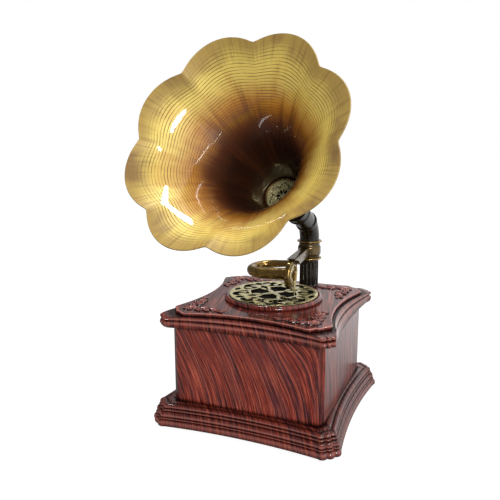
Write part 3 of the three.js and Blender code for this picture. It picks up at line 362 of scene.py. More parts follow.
def start_material(name, **constants):
    """A new material: its graph and its Principled shader's sockets, with plain values set."""
    material = bpy.data.materials.new(f"finish_{name}")
    material.use_nodes = True
    graph = Graph(material.node_tree)
    shader = material.node_tree.nodes["Principled BSDF"]
    for socket, value in constants.items():
        shader.inputs[socket.replace("_", " ")].default_value = value
    return material, graph, shader.inputs


def bump(graph, shader, height, strength, distance):
    """Joins a height to the shader's normal. The distance is in millimetres."""
    made = graph.add("ShaderNodeBump", {
        "Height": height, "Strength": strength, "Distance": distance * MM})
    graph.feed(shader["Normal"], made.outputs["Normal"])


def rosewood(name, across, along, brightness=1.0, gloss=0.05, coat=0.8, stain=None):
    """Lacquered rosewood, with its grain along a chosen way.

    The mesh's hollow value, or the given painted light, paints shade into recesses where it is over 0
    and paints a highlight onto edges where it is under 0.
    """
    material, graph, shader = start_material(
        name, Coat_Roughness=gloss, Coat_IOR=1.6, Specular_IOR_Level=0.1)
    figure = graph.group(shared("Rosewood figure"), {
        "Across": across(graph), "Along": along(graph), "Dark": tone("wood_dark"),
        "Middle": tone("wood_mid"), "Light": tone("wood_light"), "Grey": tone("wood_grey"),
    })
    shade = graph.add("ShaderNodeHueSaturation", {"Color": figure["Color"], "Value": brightness})
    hollow = stain(graph) if stain else graph.attribute("hollow")
    # Painted light: under 0 a painted highlight on the crests, over 0 painted shade in the recesses.
    crest = graph.math("MULTIPLY", hollow, -1.0, clamp=True)
    recess = graph.math("MAXIMUM", hollow, 0.0, clamp=True)
    highlighted = graph.mix(crest, shade.outputs["Color"], tone("wood_painted_highlight"))
    graph.fill(shader, {"Base Color": graph.tint(highlighted, recess, 0.92, PAINTED_SHADE),
                        "Roughness": figure["Roughness"],
                        "Coat Weight": graph.remap(recess, 0.0, 1.0, coat, 0.1)})
    bump(graph, shader, figure["Height"], 0.08, 0.05)
    return material


def sideways(graph, depth_share):
    """A distance that runs on round a corner: X with a share of Y."""
    xyz = graph.split()
    return graph.plus(xyz["X"], graph.times(xyz["Y"], depth_share))


def wall_across(graph):
    """Distance round the box, bent so that the grain leans more towards the top left."""
    straight_from, leaning_to, most_lean, least_lean, bend = 75, 30, 30.0, 6.0, 1.4
    low, high = low_of("cabinet"), high_of("cabinet")
    xyz = graph.split()
    rise = graph.math("DIVIDE", graph.minus(xyz["Z"], low.z), high.z - low.z, clamp=True)
    lean = graph.remap(xyz["X"], BASE_MIDDLE.x + leaning_to, BASE_MIDDLE.x + straight_from,
                       most_lean, least_lean)
    return graph.plus(sideways(graph, 0.75), graph.times(graph.math("POWER", rise, bend), lean))


def wall_painted_shade(graph):
    """Painted shade on the box's bevelled corners and in the corner over the plinth."""
    bevel, dark_edge, corner_dark = 4.2, 2.6, 0.62
    foot_from, foot_full, foot_dark = 4, 0.5, 0.9
    low, high = low_of("cabinet"), high_of("cabinet")
    xyz = graph.split()
    half = (high.x - low.x) / 2
    sides = [graph.math("ABSOLUTE", graph.minus(xyz[axis], middle))
             for axis, middle in (("X", BASE_MIDDLE.x), ("Y", BASE_MIDDLE.y))]
    # Painted shade on the corner bevels, and a painted contact shadow at the foot of the walls.
    corner = graph.remap(graph.math("MINIMUM", *sides), half - bevel, half - dark_edge, 0.0,
                         corner_dark)
    foot = graph.remap(xyz["Z"], low.z + foot_from, low.z + foot_full, 0.0, foot_dark)
    return graph.math("MAXIMUM", corner, foot)


def upwards(graph):
    """Height, for grain that stands upright."""
    return graph.split()["Z"]


def moulding_across(graph):
    """Distance along the mouldings, over their upright grain."""
    return sideways(graph, 0.9)


def top_across(graph):
    """Distance over the slab's grain, which runs a little off straight from front to rear."""
    return sideways(graph, 0.25)


def top_along(graph):
    """Distance down the slab's grain, carried on over its edges."""
    xyz = graph.split()
    return graph.minus(xyz["Y"], xyz["Z"])


def carved_wood(name):
    """Carved wood: orange-red crests and dark recesses, from the relief kept on the mesh."""
    material, graph, shader = start_material(
        name, Coat_Roughness=0.08, Coat_IOR=1.6, Specular_IOR_Level=0.2)
    points = graph.points()
    clouds = graph.noise(points, 0.35, 3.0)
    relief = graph.attribute("relief")
    crest = graph.remap(graph.plus(relief, graph.times(clouds, 0.3)), 0.62, 1.12)
    carved = graph.mix(crest, tone("wood_dark"), tone("carving"))
    # Painted highlight on the highest crests.
    crest_highlight = graph.remap(relief, 0.86, 1.0, 0.0, 0.5)
    graph.fill(shader, {"Base Color": graph.mix(crest_highlight, carved, tone("wood_painted_highlight")),
                        "Roughness": graph.remap(clouds, 0.3, 0.7, 0.3, 0.5),
                        "Coat Weight": graph.remap(crest, 0.0, 1.0, 0.35, 1.0)})
    bump(graph, shader, graph.noise(points, 1.6, 3.0), 0.25, 0.12)
    return material


def horn_brass(name):
    """Spun and lacquered sheet brass, toned from a gold bell to a dark throat.

    The mesh keeps run, 0 at the throat and 1 at the rim, the angle round the horn as its cosine and
    sine, and outside, 1 on the back of the sheet.
    """
    grooves = 58
    material, graph, shader = start_material(
        name, Metallic=0.12, Coat_Weight=1.0, Coat_Roughness=0.05, Coat_IOR=1.6)
    run = graph.attribute("run")
    clouds = graph.noise(graph.points(), 0.03, 3.0)
    around = graph.vector(graph.attribute("cosine"), graph.attribute("sine"), run)

    def within(noise, low, high, *zone):
        """Where a noise passes from low to high, in the zones of the run that are named."""
        mask = graph.remap(noise, low, high)
        for start, end in zip(zone[::2], zone[1::2]):
            mask = graph.times(mask, graph.remap(run, start, end))
        return mask

    smoke = graph.figure(around, (6, 6, 1), 4.0, 0.65)
    drift = graph.plus(run, graph.times(graph.minus(clouds, 0.5), 0.14))
    streaked = graph.times(graph.minus(smoke, 0.5), graph.remap(run, 0.85, 0.5, 0.0, 0.3))
    drift = graph.minus(drift, streaked)
    smoked = within(smoke, 0.48, 0.72, 0.9, 0.55)
    sheen = within(graph.figure(around, (2.4, 2.4, 1.5), 3.0, 0.6), 0.46, 0.62, 0.5, 0.7, 0.95, 0.8)
    wobble = graph.figure(around, (3, 3, 14), 2.0)
    line_place = graph.plus(graph.times(run, grooves), graph.times(wobble, 0.6))
    wave = graph.math("ABSOLUTE", graph.math("SINE", graph.times(line_place, math.pi)))
    broken = graph.remap(graph.figure(around, (4, 4, 24)), 0.35, 0.6, 0.35, 1.0)
    groove = graph.times(within(wave, 0.5, 0.1, 0.4, 0.62, 0.98, 0.9), broken)
    brushed = within(graph.figure(around, (42, 42, 2.5), 4.0, 0.7), 0.46, 0.7, 0.82, 0.93)
    smudge = within(graph.figure(around, (2.2, 2.2, 3), 3.0, 0.6), 0.5, 0.66, 0.84, 0.97)
    base = tone("horn_throat")
    for low, high, shade in ((0.36, 0.58, "horn_amber"), (0.5, 0.7, "horn_honey"),
                             (0.62, 0.84, "horn_gold"), (0.87, 0.98, "horn_rim")):
        base = graph.mix(graph.remap(drift, low, high), base, tone(shade))
    for mask, share, shade in ((smoked, 0.7, "horn_amber"), (sheen, 0.5, "horn_honey"),
                               (groove, 0.85, "horn_amber"), (brushed, 0.4, "horn_amber"),
                               (smudge, 0.6, "horn_smudge")):
        base = graph.tint(base, mask, share, tone(shade))
    back = graph.mix(graph.remap(drift, -0.2, 0.9), tone("horn_throat"), tone("horn_rim"))
    back = graph.tint(back, smudge, 0.5, tone("horn_smudge"))
    graph.fill(shader, {"Base Color": graph.mix(graph.attribute("outside"), base, back),
                        "Roughness": graph.remap(clouds, 0.3, 0.7, 0.4, 0.5)})
    bump(graph, shader, graph.minus(1.0, groove), 0.8, 0.2)
    return material


def metal(name, bright, dark, amount, blotch, metallic=0.9, **constants):
    """A toned metal, dark where the mesh's hollow value says so."""
    material, graph, shader = start_material(name, Metallic=metallic, **constants)
    patina = graph.group(shared("Patina"), {
        "Vector": graph.points(), "Blotch": blotch, "Grain": 1.4, "Bright": tone(bright),
        "Dark": tone(dark), "Hollow": graph.attribute("hollow"), "Amount": amount,
    })
    graph.fill(shader, {"Base Color": patina["Color"], "Roughness": patina["Roughness"]})
    bump(graph, shader, patina["Height"], 0.12, 0.05)
    return material


def speckled(name, base, size, spread, height, **constants):
    """A plain moulded, pressed or woven stuff with fine surface noise."""
    material, graph, shader = start_material(name, **constants)
    speckle = graph.group(shared("Speckle"), {
        "Vector": graph.points(), "Size": size, "Base": tone(base), "Spread": spread})
    graph.fill(shader, {"Base Color": speckle["Color"], "Roughness": speckle["Roughness"]})
    bump(graph, shader, speckle["Height"], 0.3, height)
    return material


def grille_cloth(name):
    """Woven grille cloth: two sets of threads over and under each other."""
    waves_per_mm = 5.2
    material, graph, shader = start_material(name, Specular_IOR_Level=0.05, Roughness=0.9)
    xyz = graph.split()
    warp, weft = (graph.math("ABSOLUTE", graph.math("SINE", graph.times(xyz[axis], waves_per_mm)))
                  for axis in ("X", "Y"))
    weave = graph.times(warp, weft)
    graph.feed(shader["Base Color"], graph.mix(weave, THREAD_DARK, THREAD_LIGHT))
    bump(graph, shader, weave, 0.6, 0.2)
    return material


RECIPES = {
    "rosewood_walls": (rosewood, (wall_across, upwards), {"gloss": 0.2, "coat": 0.75, "stain": wall_painted_shade}),
    "rosewood_mouldings": (rosewood, (moulding_across, upwards), {"brightness": 0.62, "coat": 0.85}),
    "rosewood_top": (rosewood, (top_across, top_along), {"brightness": 0.55, "coat": 0.6}),
    "carved_wood": (carved_wood, (), {}),
    "horn_brass": (horn_brass, (), {}),
    "antique_brass": (metal, ("antique", "patina", 0.75, 0.16),
                      {"Coat_Weight": 0.3, "Coat_Roughness": 0.12}),
    "aged_brass": (metal, ("aged", "patina", 0.85, 0.2), {"Coat_Weight": 0.5, "Coat_Roughness": 0.06}),
    "dark_bronze": (metal, ("bronze", "patina", 0.6, 0.12, 0.5),
                    {"Coat_Weight": 0.4, "Coat_Roughness": 0.05}),
    "pale_gold": (metal, ("pale_gold", "antique", 0.35, 0.25, 0.6),
                  {"Coat_Weight": 0.3, "Coat_Roughness": 0.08}),
    "steel": (metal, ("steel", (0.12, 0.12, 0.13), 0.3, 0.3), {}),
    "black_cloth": (grille_cloth, (), {}),
    "black_plastic": (speckled, ("plastic", 0.6, 0.15, 0.05), {}),
    "foot_rubber": (speckled, ((0.012, 0.008, 0.010), 0.9, 0.2, 0.08),
                    {"Coat_Weight": 0.4, "Coat_Roughness": 0.2}),
    "magnet": (speckled, ((0.035, 0.037, 0.042), 0.8, 0.3, 0.1), {"Metallic": 0.3}),
    "paper_cone": (speckled, ((0.014, 0.013, 0.012), 1.2, 0.4, 0.15), {}),
    "circuit_board": (speckled, ((0.01, 0.07, 0.025), 1.5, 0.3, 0.03), {"Coat_Weight": 0.5}),
    "battery": (speckled, ((0.02, 0.075, 0.2), 6.0, 0.15, 0.1), {"Coat_Weight": 0.6}),
}


def finish(name):
    """A material by its name, made from its recipe the first time."""
    made = bpy.data.materials.get(f"finish_{name}")
    if made is None:
        maker, values, constants = RECIPES[name]
        made = maker(name, *values, **constants)
    return made


def add_piece(name, shape, body, slot, replaces, material=None, sharp=40):
    """Makes the finished object from a shape in millimetres, on its body, with its slot's finish or the one
    given.
    """
    bmesh.ops.scale(shape, vec=(MM, MM, MM), verts=shape.verts)
    mesh = bpy.data.meshes.new(name)
    shape.to_mesh(mesh)
    shape.free()
    mesh.shade_smooth()
    mesh.set_sharp_from_angle(angle=math.radians(sharp))
    mesh.materials.append(finish(material or slot))
    piece = bpy.data.objects.new(name, mesh)
    bpy.context.scene.collection.objects.link(piece)
    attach(piece, body)
    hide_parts(*replaces)


def dress(name, material, bevel=0.0):
    """Gives a CAD node its finish. To round its edges, its loose triangles are welded first."""
    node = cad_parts[name]
    node.data.materials.clear()
    node.data.materials.append(finish(material))
    if bevel:
        node.modifiers.new("Weld", "WELD").merge_threshold = 0.001 * MM
        rounding = node.modifiers.new("Rounded edges", "BEVEL")
        rounding.width = bevel * MM
        rounding.segments = 2
        rounding.limit_method = "ANGLE"
        rounding.angle_limit = math.radians(32)
        rounding.harden_normals = True


def lofted(layers, closed=False, values=None):
    """A shell over layers with equal numbers of points, capped at its ends or closed on itself.

    values holds numbers to keep on the mesh, by name: for each, a list of one list per layer.
    """
    shape = bmesh.new()
    order = shape.verts.layers.int.new("order")
    kept = {name: shape.verts.layers.float.new(name) for name in (values or {})}
    count = len(layers[0])
    ring = bmesh.ops.create_circle(shape, segments=count, radius=1)["verts"]
    for index, vert in enumerate(ring):
        vert[order] = index
    edges = list(shape.edges)
    first_edges = list(edges)

    def settle(verts, row):
        for vert in verts:
            vert.co = layers[row][vert[order]]
            for name, layer in kept.items():
                vert[layer] = values[name][row][vert[order]]

    settle(ring, 0)
    for row in range(1, len(layers)):
        made = bmesh.ops.extrude_edge_only(shape, edges=edges)["geom"]
        verts = {item for item in made if isinstance(item, bmesh.types.BMVert)}
        settle(verts, row)
        edges = [item for item in made if isinstance(item, bmesh.types.BMEdge)
                 and item.verts[0] in verts and item.verts[1] in verts]
    if closed:
        bmesh.ops.bridge_loops(shape, edges=first_edges + edges)
    else:
        bmesh.ops.edgeloop_fill(shape, edges=first_edges)
        bmesh.ops.edgeloop_fill(shape, edges=edges)
    bmesh.ops.recalc_face_normals(shape, faces=shape.faces)
    return shape


def eased(points, times=2, closed=False):
    """A line of points with its corners cut, again and again, into curves."""
    near, far = 0.25, 0.75
    for _ in range(times):
        ends = list(zip(points, points[1:] + points[:1] if closed else points[1:]))
        cut = [] if closed else [points[0]]
        for start, end in ends:
            cut.append(tuple(a + (b - a) * near for a, b in zip(start, end)))
            cut.append(tuple(a + (b - a) * far for a, b in zip(start, end)))
        if not closed:
            cut.append(points[-1])
        points = cut
    return points


def turned(profile, sides, closed=False, hollow=None):
    """A turned solid from a profile of (radius, height). hollow tells how dark it is at a radius."""
    shape = bmesh.new()
    dark = shape.verts.layers.float.new("hollow")
    verts = [shape.verts.new((radius, 0, height)) for radius, height in profile]
    for vert in verts:
        vert[dark] = hollow(vert.co.x) if hollow else 0
    pairs = list(zip(verts, verts[1:]))
    if closed:
        pairs.append((verts[-1], verts[0]))
    edges = [shape.edges.new(pair) for pair in pairs]
    bmesh.ops.spin(shape, geom=verts + edges, cent=(0, 0, 0), axis=(0, 0, 1), angle=FULL_TURN,
                   steps=sides, use_merge=True)
    bmesh.ops.remove_doubles(shape, verts=shape.verts, dist=MERGE_DISTANCE)
    bmesh.ops.recalc_face_normals(shape, faces=shape.faces)
    return shape


def moved(shape, place):
    """A shape moved by a vector or by a matrix."""
    matrix = place if isinstance(place, Matrix) else Matrix.Translation(place)
    bmesh.ops.transform(shape, matrix=matrix, verts=shape.verts)
    return shape


def joined(*shapes):
    """Several shapes in one."""
    whole = shapes[0]
    for shape in shapes[1:]:
        part = bpy.data.meshes.new("part")
        shape.to_mesh(part)
        shape.free()
        whole.from_mesh(part)
        bpy.data.meshes.remove(part)
    return whole


def bracket_plan(half, corner, hollow, height):
    """Plan outline with hollow sides and lobed corners, at a height, round the base's middle."""
    side_steps, lobe_steps, lobe_sharpness = 14, 8, 0.7
    sizes = bpy.context.scene.base_sizes
    lobes = sizes.corner_lobes
    depth = sizes.lobe_depth / MM
    reach = half - corner
    points = []
    for quarter in range(4):
        turn = Matrix.Rotation(quarter * math.pi / 2, 3, "Z")
        dip = hollow * sizes.rear_hollow if quarter == 1 else hollow
        bow = (reach * reach + dip * dip) / (2 * dip)
        for i in range(side_steps):
            y = reach * (2 * i / side_steps - 1)
            points.append(turn @ Vector((half - dip + bow - math.sqrt(bow * bow - y * y), y, 0)))
        for i in range(lobes * lobe_steps):
            angle = math.pi / 2 * i / (lobes * lobe_steps)
            lobe = abs(math.sin(lobes * 2 * angle)) ** lobe_sharpness
            radius = corner + depth * (lobe - math.sin(2 * angle))
            points.append(turn @ Vector((
                reach + radius * math.cos(angle), reach + radius * math.sin(angle), 0)))
    return [BASE_MIDDLE + point + Vector((0, 0, height)) for point in points]


def onto_square(points, half, height):
    """The same points drawn onto a square round the base's middle."""
    squared = []
    for point in points:
        out = point - BASE_MIDDLE
        scale = half / max(abs(out.x), abs(out.y))
        squared.append(BASE_MIDDLE + Vector((out.x * scale, out.y * scale, height)))
    return squared


def onto_circle(points, middle, radius, height):
    """The same points drawn onto a circle."""
    return [middle + (point - middle).to_2d().normalized().to_3d() * radius + Vector((0, 0, height))
            for point in points]


def add_moulding(name, node, layers, profile, inner_painted_light, material):
    """Adds a moulded board from its layers: painted with shade and highlights as the profile says, and evenly
    within.
    """
    painted_light_per_layer = [stain for _, _, stain in profile]
    painted_light_per_layer += [inner_painted_light] * (len(layers) - len(profile))
    values = {"hollow": [[stain] * len(layers[0]) for stain in painted_light_per_layer]}
    add_piece(name, lofted(layers, closed=True, values=values), "base", "rosewood", [node], material)


# Profiles of the mouldings: share of the setback inwards, share of the height, and painted light:
# over 0 painted shade in the recesses, under 0 a painted highlight on the crests.
PLINTH_PROFILE = (
    (0.44, 0, 1), (0.12, 0.02, 0.5), (0.02, 0.09, 0), (0, 0.17, -0.1), (0.05, 0.26, -0.3),
    (0.2, 0.32, 0.2), (0.36, 0.335, 1), (0.38, 0.345, 1), (0.26, 0.352, 0.6), (0.18, 0.385, -0.5),
    (0.21, 0.42, 0), (0.36, 0.435, 1), (0.4, 0.445, 1), (0.31, 0.455, 0.5), (0.28, 0.5, -0.5),
    (0.3, 0.6, 0), (0.36, 0.66, 0.1), (0.5, 0.685, 0.9), (0.58, 0.69, 1), (0.54, 0.7, 0.7),
    (0.49, 0.74, -0.5), (0.5, 0.78, 0), (0.58, 0.81, 0.7), (0.7, 0.815, 1), (0.72, 0.825, 1),
    (0.62, 0.835, 0.6), (0.57, 0.87, -0.4), (0.59, 0.93, -0.1), (0.68, 0.985, 0.1), (0.9, 1, 0.3),
    (1.1, 0.975, 1), (1.14, 0.97, 1), (1.18, 0.985, 0.5), (1.3, 1, 0), (1.6, 1, 0.2), (1.8, 0.98, 1),
    (1.9, 0.98, 1), (2.2, 0.98, 1))
LID_PROFILE = (
    (0.5, 0, 1), (0.2, 0.02, 0.8), (0.06, 0.1, 0.3), (0, 0.25, 0), (0.02, 0.42, -0.4), (0.14, 0.56, 0.1),
    (0.42, 0.62, 0.9), (0.46, 0.65, 1), (0.3, 0.67, 0.8), (0.12, 0.7, 0), (0.02, 0.78, -0.5),
    (0.04, 0.88, -0.1), (0.16, 0.965, 0), (0.4, 1, 0.3), (0.95, 1, 1))
SLAB_PROFILE = (
    (0.2, 0, 1), (0, 0.12, 0.8), (0, 0.4, 0.2), (0, 0.7, 0), (0.2, 0.9, -0.7), (0.6, 1, -0.5), (1.2, 1, 0))


class PLAYER_OT_plinth(bpy.types.Operator):
    """Moulded plinth with its feet"""

    bl_idname = "player.plinth"
    bl_label = "Plinth and feet"

    def execute(self, context):
        lobe_overhang, setback, corner_radius, hollow = 0.9, 9, 15, 4.9
        opening, rabbet_gap, plate_gap = 56, 0.3, 0.1
        low, high = low_of("plinth"), high_of("plinth")
        half = (high.x - low.x) / 2 - lobe_overhang
        profile = eased(list(PLINTH_PROFILE))
        layers = [bracket_plan(half - inset * setback, corner_radius - inset * setback / 2, hollow,
                               low.z + rise * (high.z - low.z)) for inset, rise, _ in profile]
        inside = layers[-1]
        plate = high_of("base_plate")
        rabbet = plate.x - BASE_MIDDLE.x + rabbet_gap
        for size, height in ((opening, high.z), (opening, plate.z + plate_gap),
                             (rabbet, plate.z + plate_gap), (rabbet, low.z)):
            layers.append(onto_square(inside, size, height))
        add_moulding("plinth_moulding", "plinth", layers, profile, 1, "rosewood_mouldings")
        for corner in CORNERS:
            self.foot(corner)
        return {"FINISHED"}

    def foot(self, corner):
        """One round foot, dished underneath."""
        dish = 0.6
        name = f"foot_{corner}"
        middle = middle_of(name)
        radius = high_of(name).x - middle.x
        height = high_of(name).z
        profile = eased([(0, dish), (radius * 0.5, dish), (radius * 0.62, 0), (radius * 0.9, 0),
                         (radius, 0.5), (radius, height * 0.6), (radius * 0.93, height), (0, height)])
        add_piece(f"round_foot_{corner}", moved(turned(profile, 40), middle.xy.to_3d()), "base",
                  "foot_rubber", [name])


class PLAYER_OT_lid(bpy.types.Operator):
    """Moulded lid board with the slab on it"""

    bl_idname = "player.lid"
    bl_label = "Lid and top slab"

    def execute(self, context):
        self.board()
        self.slab()
        return {"FINISHED"}

    def board(self):
        """The board, whose hollow sides deepen from its foot to its top."""
        half, setback, hole_radius = 79.3, 4, 41.3
        corner, corner_growth = 9, 11.6
        foot_side, side_fall, step = 74, 7, 0.8
        low, high = low_of("lid_board"), high_of("lid_board")
        profile = eased(list(LID_PROFILE))
        layers = []
        for inset, rise, _ in profile:
            size = half - inset * setback
            side = foot_side - rise * side_fall - step * (inset > 0.35)
            layers.append(bracket_plan(size, corner + inset * corner_growth, size - side,
                                       low.z + rise * (high.z - low.z)))
        layers += [onto_circle(layers[-1], SPEAKER_MIDDLE, hole_radius, z) for z in (high.z, low.z)]
        add_moulding("lid_moulding", "lid_board", layers, profile, 1, "rosewood_mouldings")

    def slab(self):
        """The thin slab, whose corners keep their shape from its foot to its top."""
        half, setback, corner, hollow, hole_radius = 72, 1.2, 19, 8.5, 38
        low, high = low_of("top_panel"), high_of("top_panel")
        profile = eased(list(SLAB_PROFILE))
        layers = [bracket_plan(half - inset * setback, corner, hollow, low.z + rise * (high.z - low.z))
                  for inset, rise, _ in profile]
        layers += [onto_circle(layers[-1], SPEAKER_MIDDLE, hole_radius, z) for z in (high.z, low.z)]
        add_moulding("top_slab", "top_panel", layers, profile, 0, "rosewood_top")


class PLAYER_OT_cabinet(bpy.types.Operator):
    """Box of the base: the CAD walls with softened edges"""

    bl_idname = "player.cabinet"
    bl_label = "Cabinet"

    def execute(self, context):
        dress("cabinet", "rosewood_walls", 0.5)
        return {"FINISHED"}


BRIGHT_SIDE = (0.8, 0.6, 0.0)
LAMP_WIDTH = 0.1


class PLAYER_OT_stage(bpy.types.Operator):
    """Pale floor, studio light and two long slim lamps"""

    bl_idname = "player.stage"
    bl_label = "Stage"

    def execute(self, context):
        floor_half = 6
        shape = bmesh.new()
        bmesh.ops.create_grid(shape, x_segments=1, y_segments=1, size=floor_half)
        mesh = bpy.data.meshes.new("floor")
        shape.to_mesh(mesh)
        shape.free()
        floor = bpy.data.objects.new("floor", mesh)
        context.scene.collection.objects.link(floor)
        mesh.materials.append(floor_material())
        light_world()
        add_lamp("window_right", (0.78, -1.17, 0.76), (0, 0, 0.25), 1.0, 14, roll=-0.58)
        add_lamp("strip_top", (-0.11, 0.25, 1.5), (0.03, 0.15, 0.1), 1.1, 11)
        return {"FINISHED"}


def towards_backdrop(graph, place, nearest, furthest, least):
    """1 where a place or direction lies towards the bright right rear, and less on the other side."""
    ahead = graph.add("ShaderNodeVectorMath", {0: place, 1: BRIGHT_SIDE}, operation="DOT_PRODUCT")
    return graph.remap(ahead.outputs["Value"], nearest, furthest, least, 1.0)


def seen_strength(graph, backdrop, white, plain):
    """White for camera rays, the backdrop's share of it for mirrors and glass, and plain elsewhere."""
    path = graph.add("ShaderNodeLightPath").outputs
    mirrored = graph.math("MAXIMUM", path["Is Glossy Ray"], path["Is Transmission Ray"])
    strength = graph.math("MAXIMUM", path["Is Camera Ray"], graph.times(mirrored, backdrop))
    strength = graph.times(strength, white)
    return graph.math("MAXIMUM", strength, graph.times(path["Is Diffuse Ray"], plain))


def floor_material():
    """White for the camera, shaded where the object's shadow falls, and bright ahead in mirrors."""
    white_share, black_share = 0.93, 0.78
    material, graph, shader = start_material("floor_paper", Roughness=0.9)
    shader["Base Color"].default_value = PAPER
    nodes = graph.tree.nodes
    place = graph.add("ShaderNodeTexCoord").outputs["Object"]
    backdrop = towards_backdrop(graph, place, 0.0, 0.45, 0.05)
    glow = graph.add("ShaderNodeEmission", {
        "Color": WHITE, "Strength": seen_strength(graph, backdrop, white_share, 0.0)})
    black = graph.add("ShaderNodeEmission", {"Color": BLACK})
    paper = graph.add("ShaderNodeMixShader", {
        0: black_share, 1: nodes["Principled BSDF"].outputs[0], 2: black.outputs[0]})
    seen = graph.add("ShaderNodeAddShader", {0: paper.outputs[0], 1: glow.outputs[0]})
    graph.feed(nodes["Material Output"].inputs["Surface"], seen.outputs[0])
    return material


def light_world():
    """White where it is seen or mirrored, and a soft grey light elsewhere."""
    world = bpy.data.worlds.new("studio")
    bpy.context.scene.world = world
    world.use_nodes = True
    graph = Graph(world.node_tree)
    direction = graph.add("ShaderNodeTexCoord").outputs["Generated"]
    backdrop = towards_backdrop(graph, direction, -0.1, 0.55, 0.12)
    graph.fill(world.node_tree.nodes["Background"].inputs, {
        "Color": WHITE, "Strength": seen_strength(graph, backdrop, 1.0, 0.55)})


def add_lamp(name, place, target, height, power, roll=0.0):
    """A long soft lamp aimed at a point and turned about its aim."""
    data = bpy.data.lights.new(name, "AREA")
    data.shape = "ELLIPSE"
    data.size = LAMP_WIDTH
    data.size_y = height
    data.energy = power
    lamp = bpy.data.objects.new(name, data)
    lamp.location = place
    aim = (Vector(target) - Vector(place)).to_track_quat("-Z", "Y")
    lamp.rotation_euler = (aim @ Quaternion((0, 0, 1), roll)).to_euler()
    bpy.context.scene.collection.objects.link(lamp)


CAMERA_OFFSET = Vector((0.18236, -0.50353, 0.26510))
CAMERA_TURN = math.radians(22.17)
CAMERA_DIP = math.radians(11.62)
CAMERA_LENS = 42.19


def add_camera():
    """The camera at the photograph's place, measured from the middle of the base."""
    data = bpy.data.cameras.new("photo_view")
    data.sensor_width = 36
    data.lens = CAMERA_LENS
    data.clip_start = 0.01
    camera = bpy.data.objects.new("photo_view", data)
    camera.location = BASE_MIDDLE * MM + CAMERA_OFFSET
    camera.rotation_euler = (math.pi / 2 - CAMERA_DIP, 0, CAMERA_TURN)
    bpy.context.scene.collection.objects.link(camera)
    bpy.context.scene.camera = camera


def leaf_hole(angle, near, far, width, fullness):
    """Outline of a leaf-shaped opening pointing outwards along an angle."""
    steps = 9
    points = []
    for side, run in ((-1, range(steps + 1)), (1, range(steps - 1, 0, -1))):
        for i in run:
            share = i / steps
            along = near + (far - near) * share
            half = side * width / 2 * math.sin(math.pi * share ** fullness)
            points.append((along * math.cos(angle) - half * math.sin(angle),
                           along * math.sin(angle) + half * math.cos(angle)))
    return points


def comma_hole(middle, radius, start, sweep, fat, thin):
    """Outline of a curved opening that narrows as it turns round a point."""
    steps, blunt, closing, start_growth, end_growth = 10, 0.35, 0.2, 3, 4
    outer, inner = [], []
    for i in range(steps + 1):
        share = i / steps
        angle = start + sweep * share
        rounded = min(1, blunt + start_growth * share, blunt + end_growth * (1 - share))
        half = (fat + (thin - fat) * share) / 2 * rounded
        path = radius * (1 - closing * share)
        for side, line in ((1, outer), (-1, inner)):
            line.append((middle[0] + (path + side * half) * math.cos(angle),
                         middle[1] + (path + side * half) * math.sin(angle)))
    return outer + inner[::-1]


def mirrored_hole(points, angle):
    """An opening's outline, mirrored over a line through the middle."""
    c, s = math.cos(2 * angle), math.sin(2 * angle)
    return [(c * x + s * y, s * x - c * y) for x, y in points][::-1]


def pierced(radius, thickness, holes, rounding):
    """A round plate with openings, from flat curves, its edges slightly rounded. Base at z = 0."""
    sides = 96
    curve = bpy.data.curves.new("plate", "CURVE")
    curve.dimensions = "2D"
    curve.fill_mode = "BOTH"
    curve.extrude = thickness / 2 - rounding
    curve.bevel_depth = rounding
    curve.bevel_resolution = 1
    rim = [((radius - rounding) * math.cos(FULL_TURN * i / sides),
            (radius - rounding) * math.sin(FULL_TURN * i / sides)) for i in range(sides)]
    for outline in [rim] + holes:
        spline = curve.splines.new("POLY")
        spline.points.add(len(outline) - 1)
        for point, (x, y) in zip(spline.points, outline):
            point.co = (x, y, 0, 1)
        spline.use_cyclic_u = True
    holder = bpy.data.objects.new("plate", curve)
    mesh = bpy.data.meshes.new_from_object(holder)
    shape = bmesh.new()
    shape.from_mesh(mesh)
    bpy.data.objects.remove(holder)
    bpy.data.curves.remove(curve)
    bpy.data.meshes.remove(mesh)
    bmesh.ops.remove_doubles(shape, verts=shape.verts, dist=MERGE_DISTANCE)
    bmesh.ops.recalc_face_normals(shape, faces=shape.faces)
    return moved(shape, Vector((0, 0, thickness / 2)))


# Openings of the plates, repeated round the middle. A leaf has its turn from the axis, its near end,
# far end and width as shares of the field, and its fullness. A scroll has the turn and reach of its
# middle, its radius, start, sweep, and its width at the start and the end; it is cut with its mirror.
EIGHTH, TWELFTH = FULL_TURN / 8, FULL_TURN / 12
DISC_HOLES = (
    ("leaf", 0, 0.07, 0.58, 0.6, 1.35), ("leaf", 0, 0.85, 0.99, 0.28, 0.8),
    ("leaf", 0.19, 0.6, 0.86, 0.23, 0.8), ("leaf", -0.19, 0.6, 0.86, 0.23, 0.8),
    ("scroll", 0.5, 0.77, 0.15, -2.8, 4.8, 0.23, 0.12),
    ("leaf", EIGHTH, 0.27, 0.69, 0.24, 0.8), ("leaf", EIGHTH, 0.73, 0.99, 0.19, 0.9))
ROSETTE_HOLES = (
    ("scroll", 0.3, 0.66, 0.17, -2.2, 3.9, 0.12, 0.05), ("leaf", 0, 0.12, 0.5, 0.2, 0.9),
    ("leaf", TWELFTH, 0.24, 0.5, 0.13, 0.9), ("leaf", TWELFTH, 0.84, 0.98, 0.26, 0.8))


def scroll_holes(count, field, rows):
    """Outlines of a plate's openings, from a table of them and a count of times round the plate."""
    holes = []
    for i in range(count):
        axis = FULL_TURN * i / count
        for kind, turn, *shares in rows:
            if kind == "leaf":
                near, far, width, fullness = shares
                holes.append(leaf_hole(axis + turn, field * near, field * far, field * width, fullness))
            else:
                reach, radius, start, sweep, fat, thin = shares
                middle = (field * reach * math.cos(axis + turn), field * reach * math.sin(axis + turn))
                comma = comma_hole(middle, field * radius, axis + start, sweep, field * fat, field * thin)
                holes += [comma, mirrored_hole(comma, axis)]
    return holes


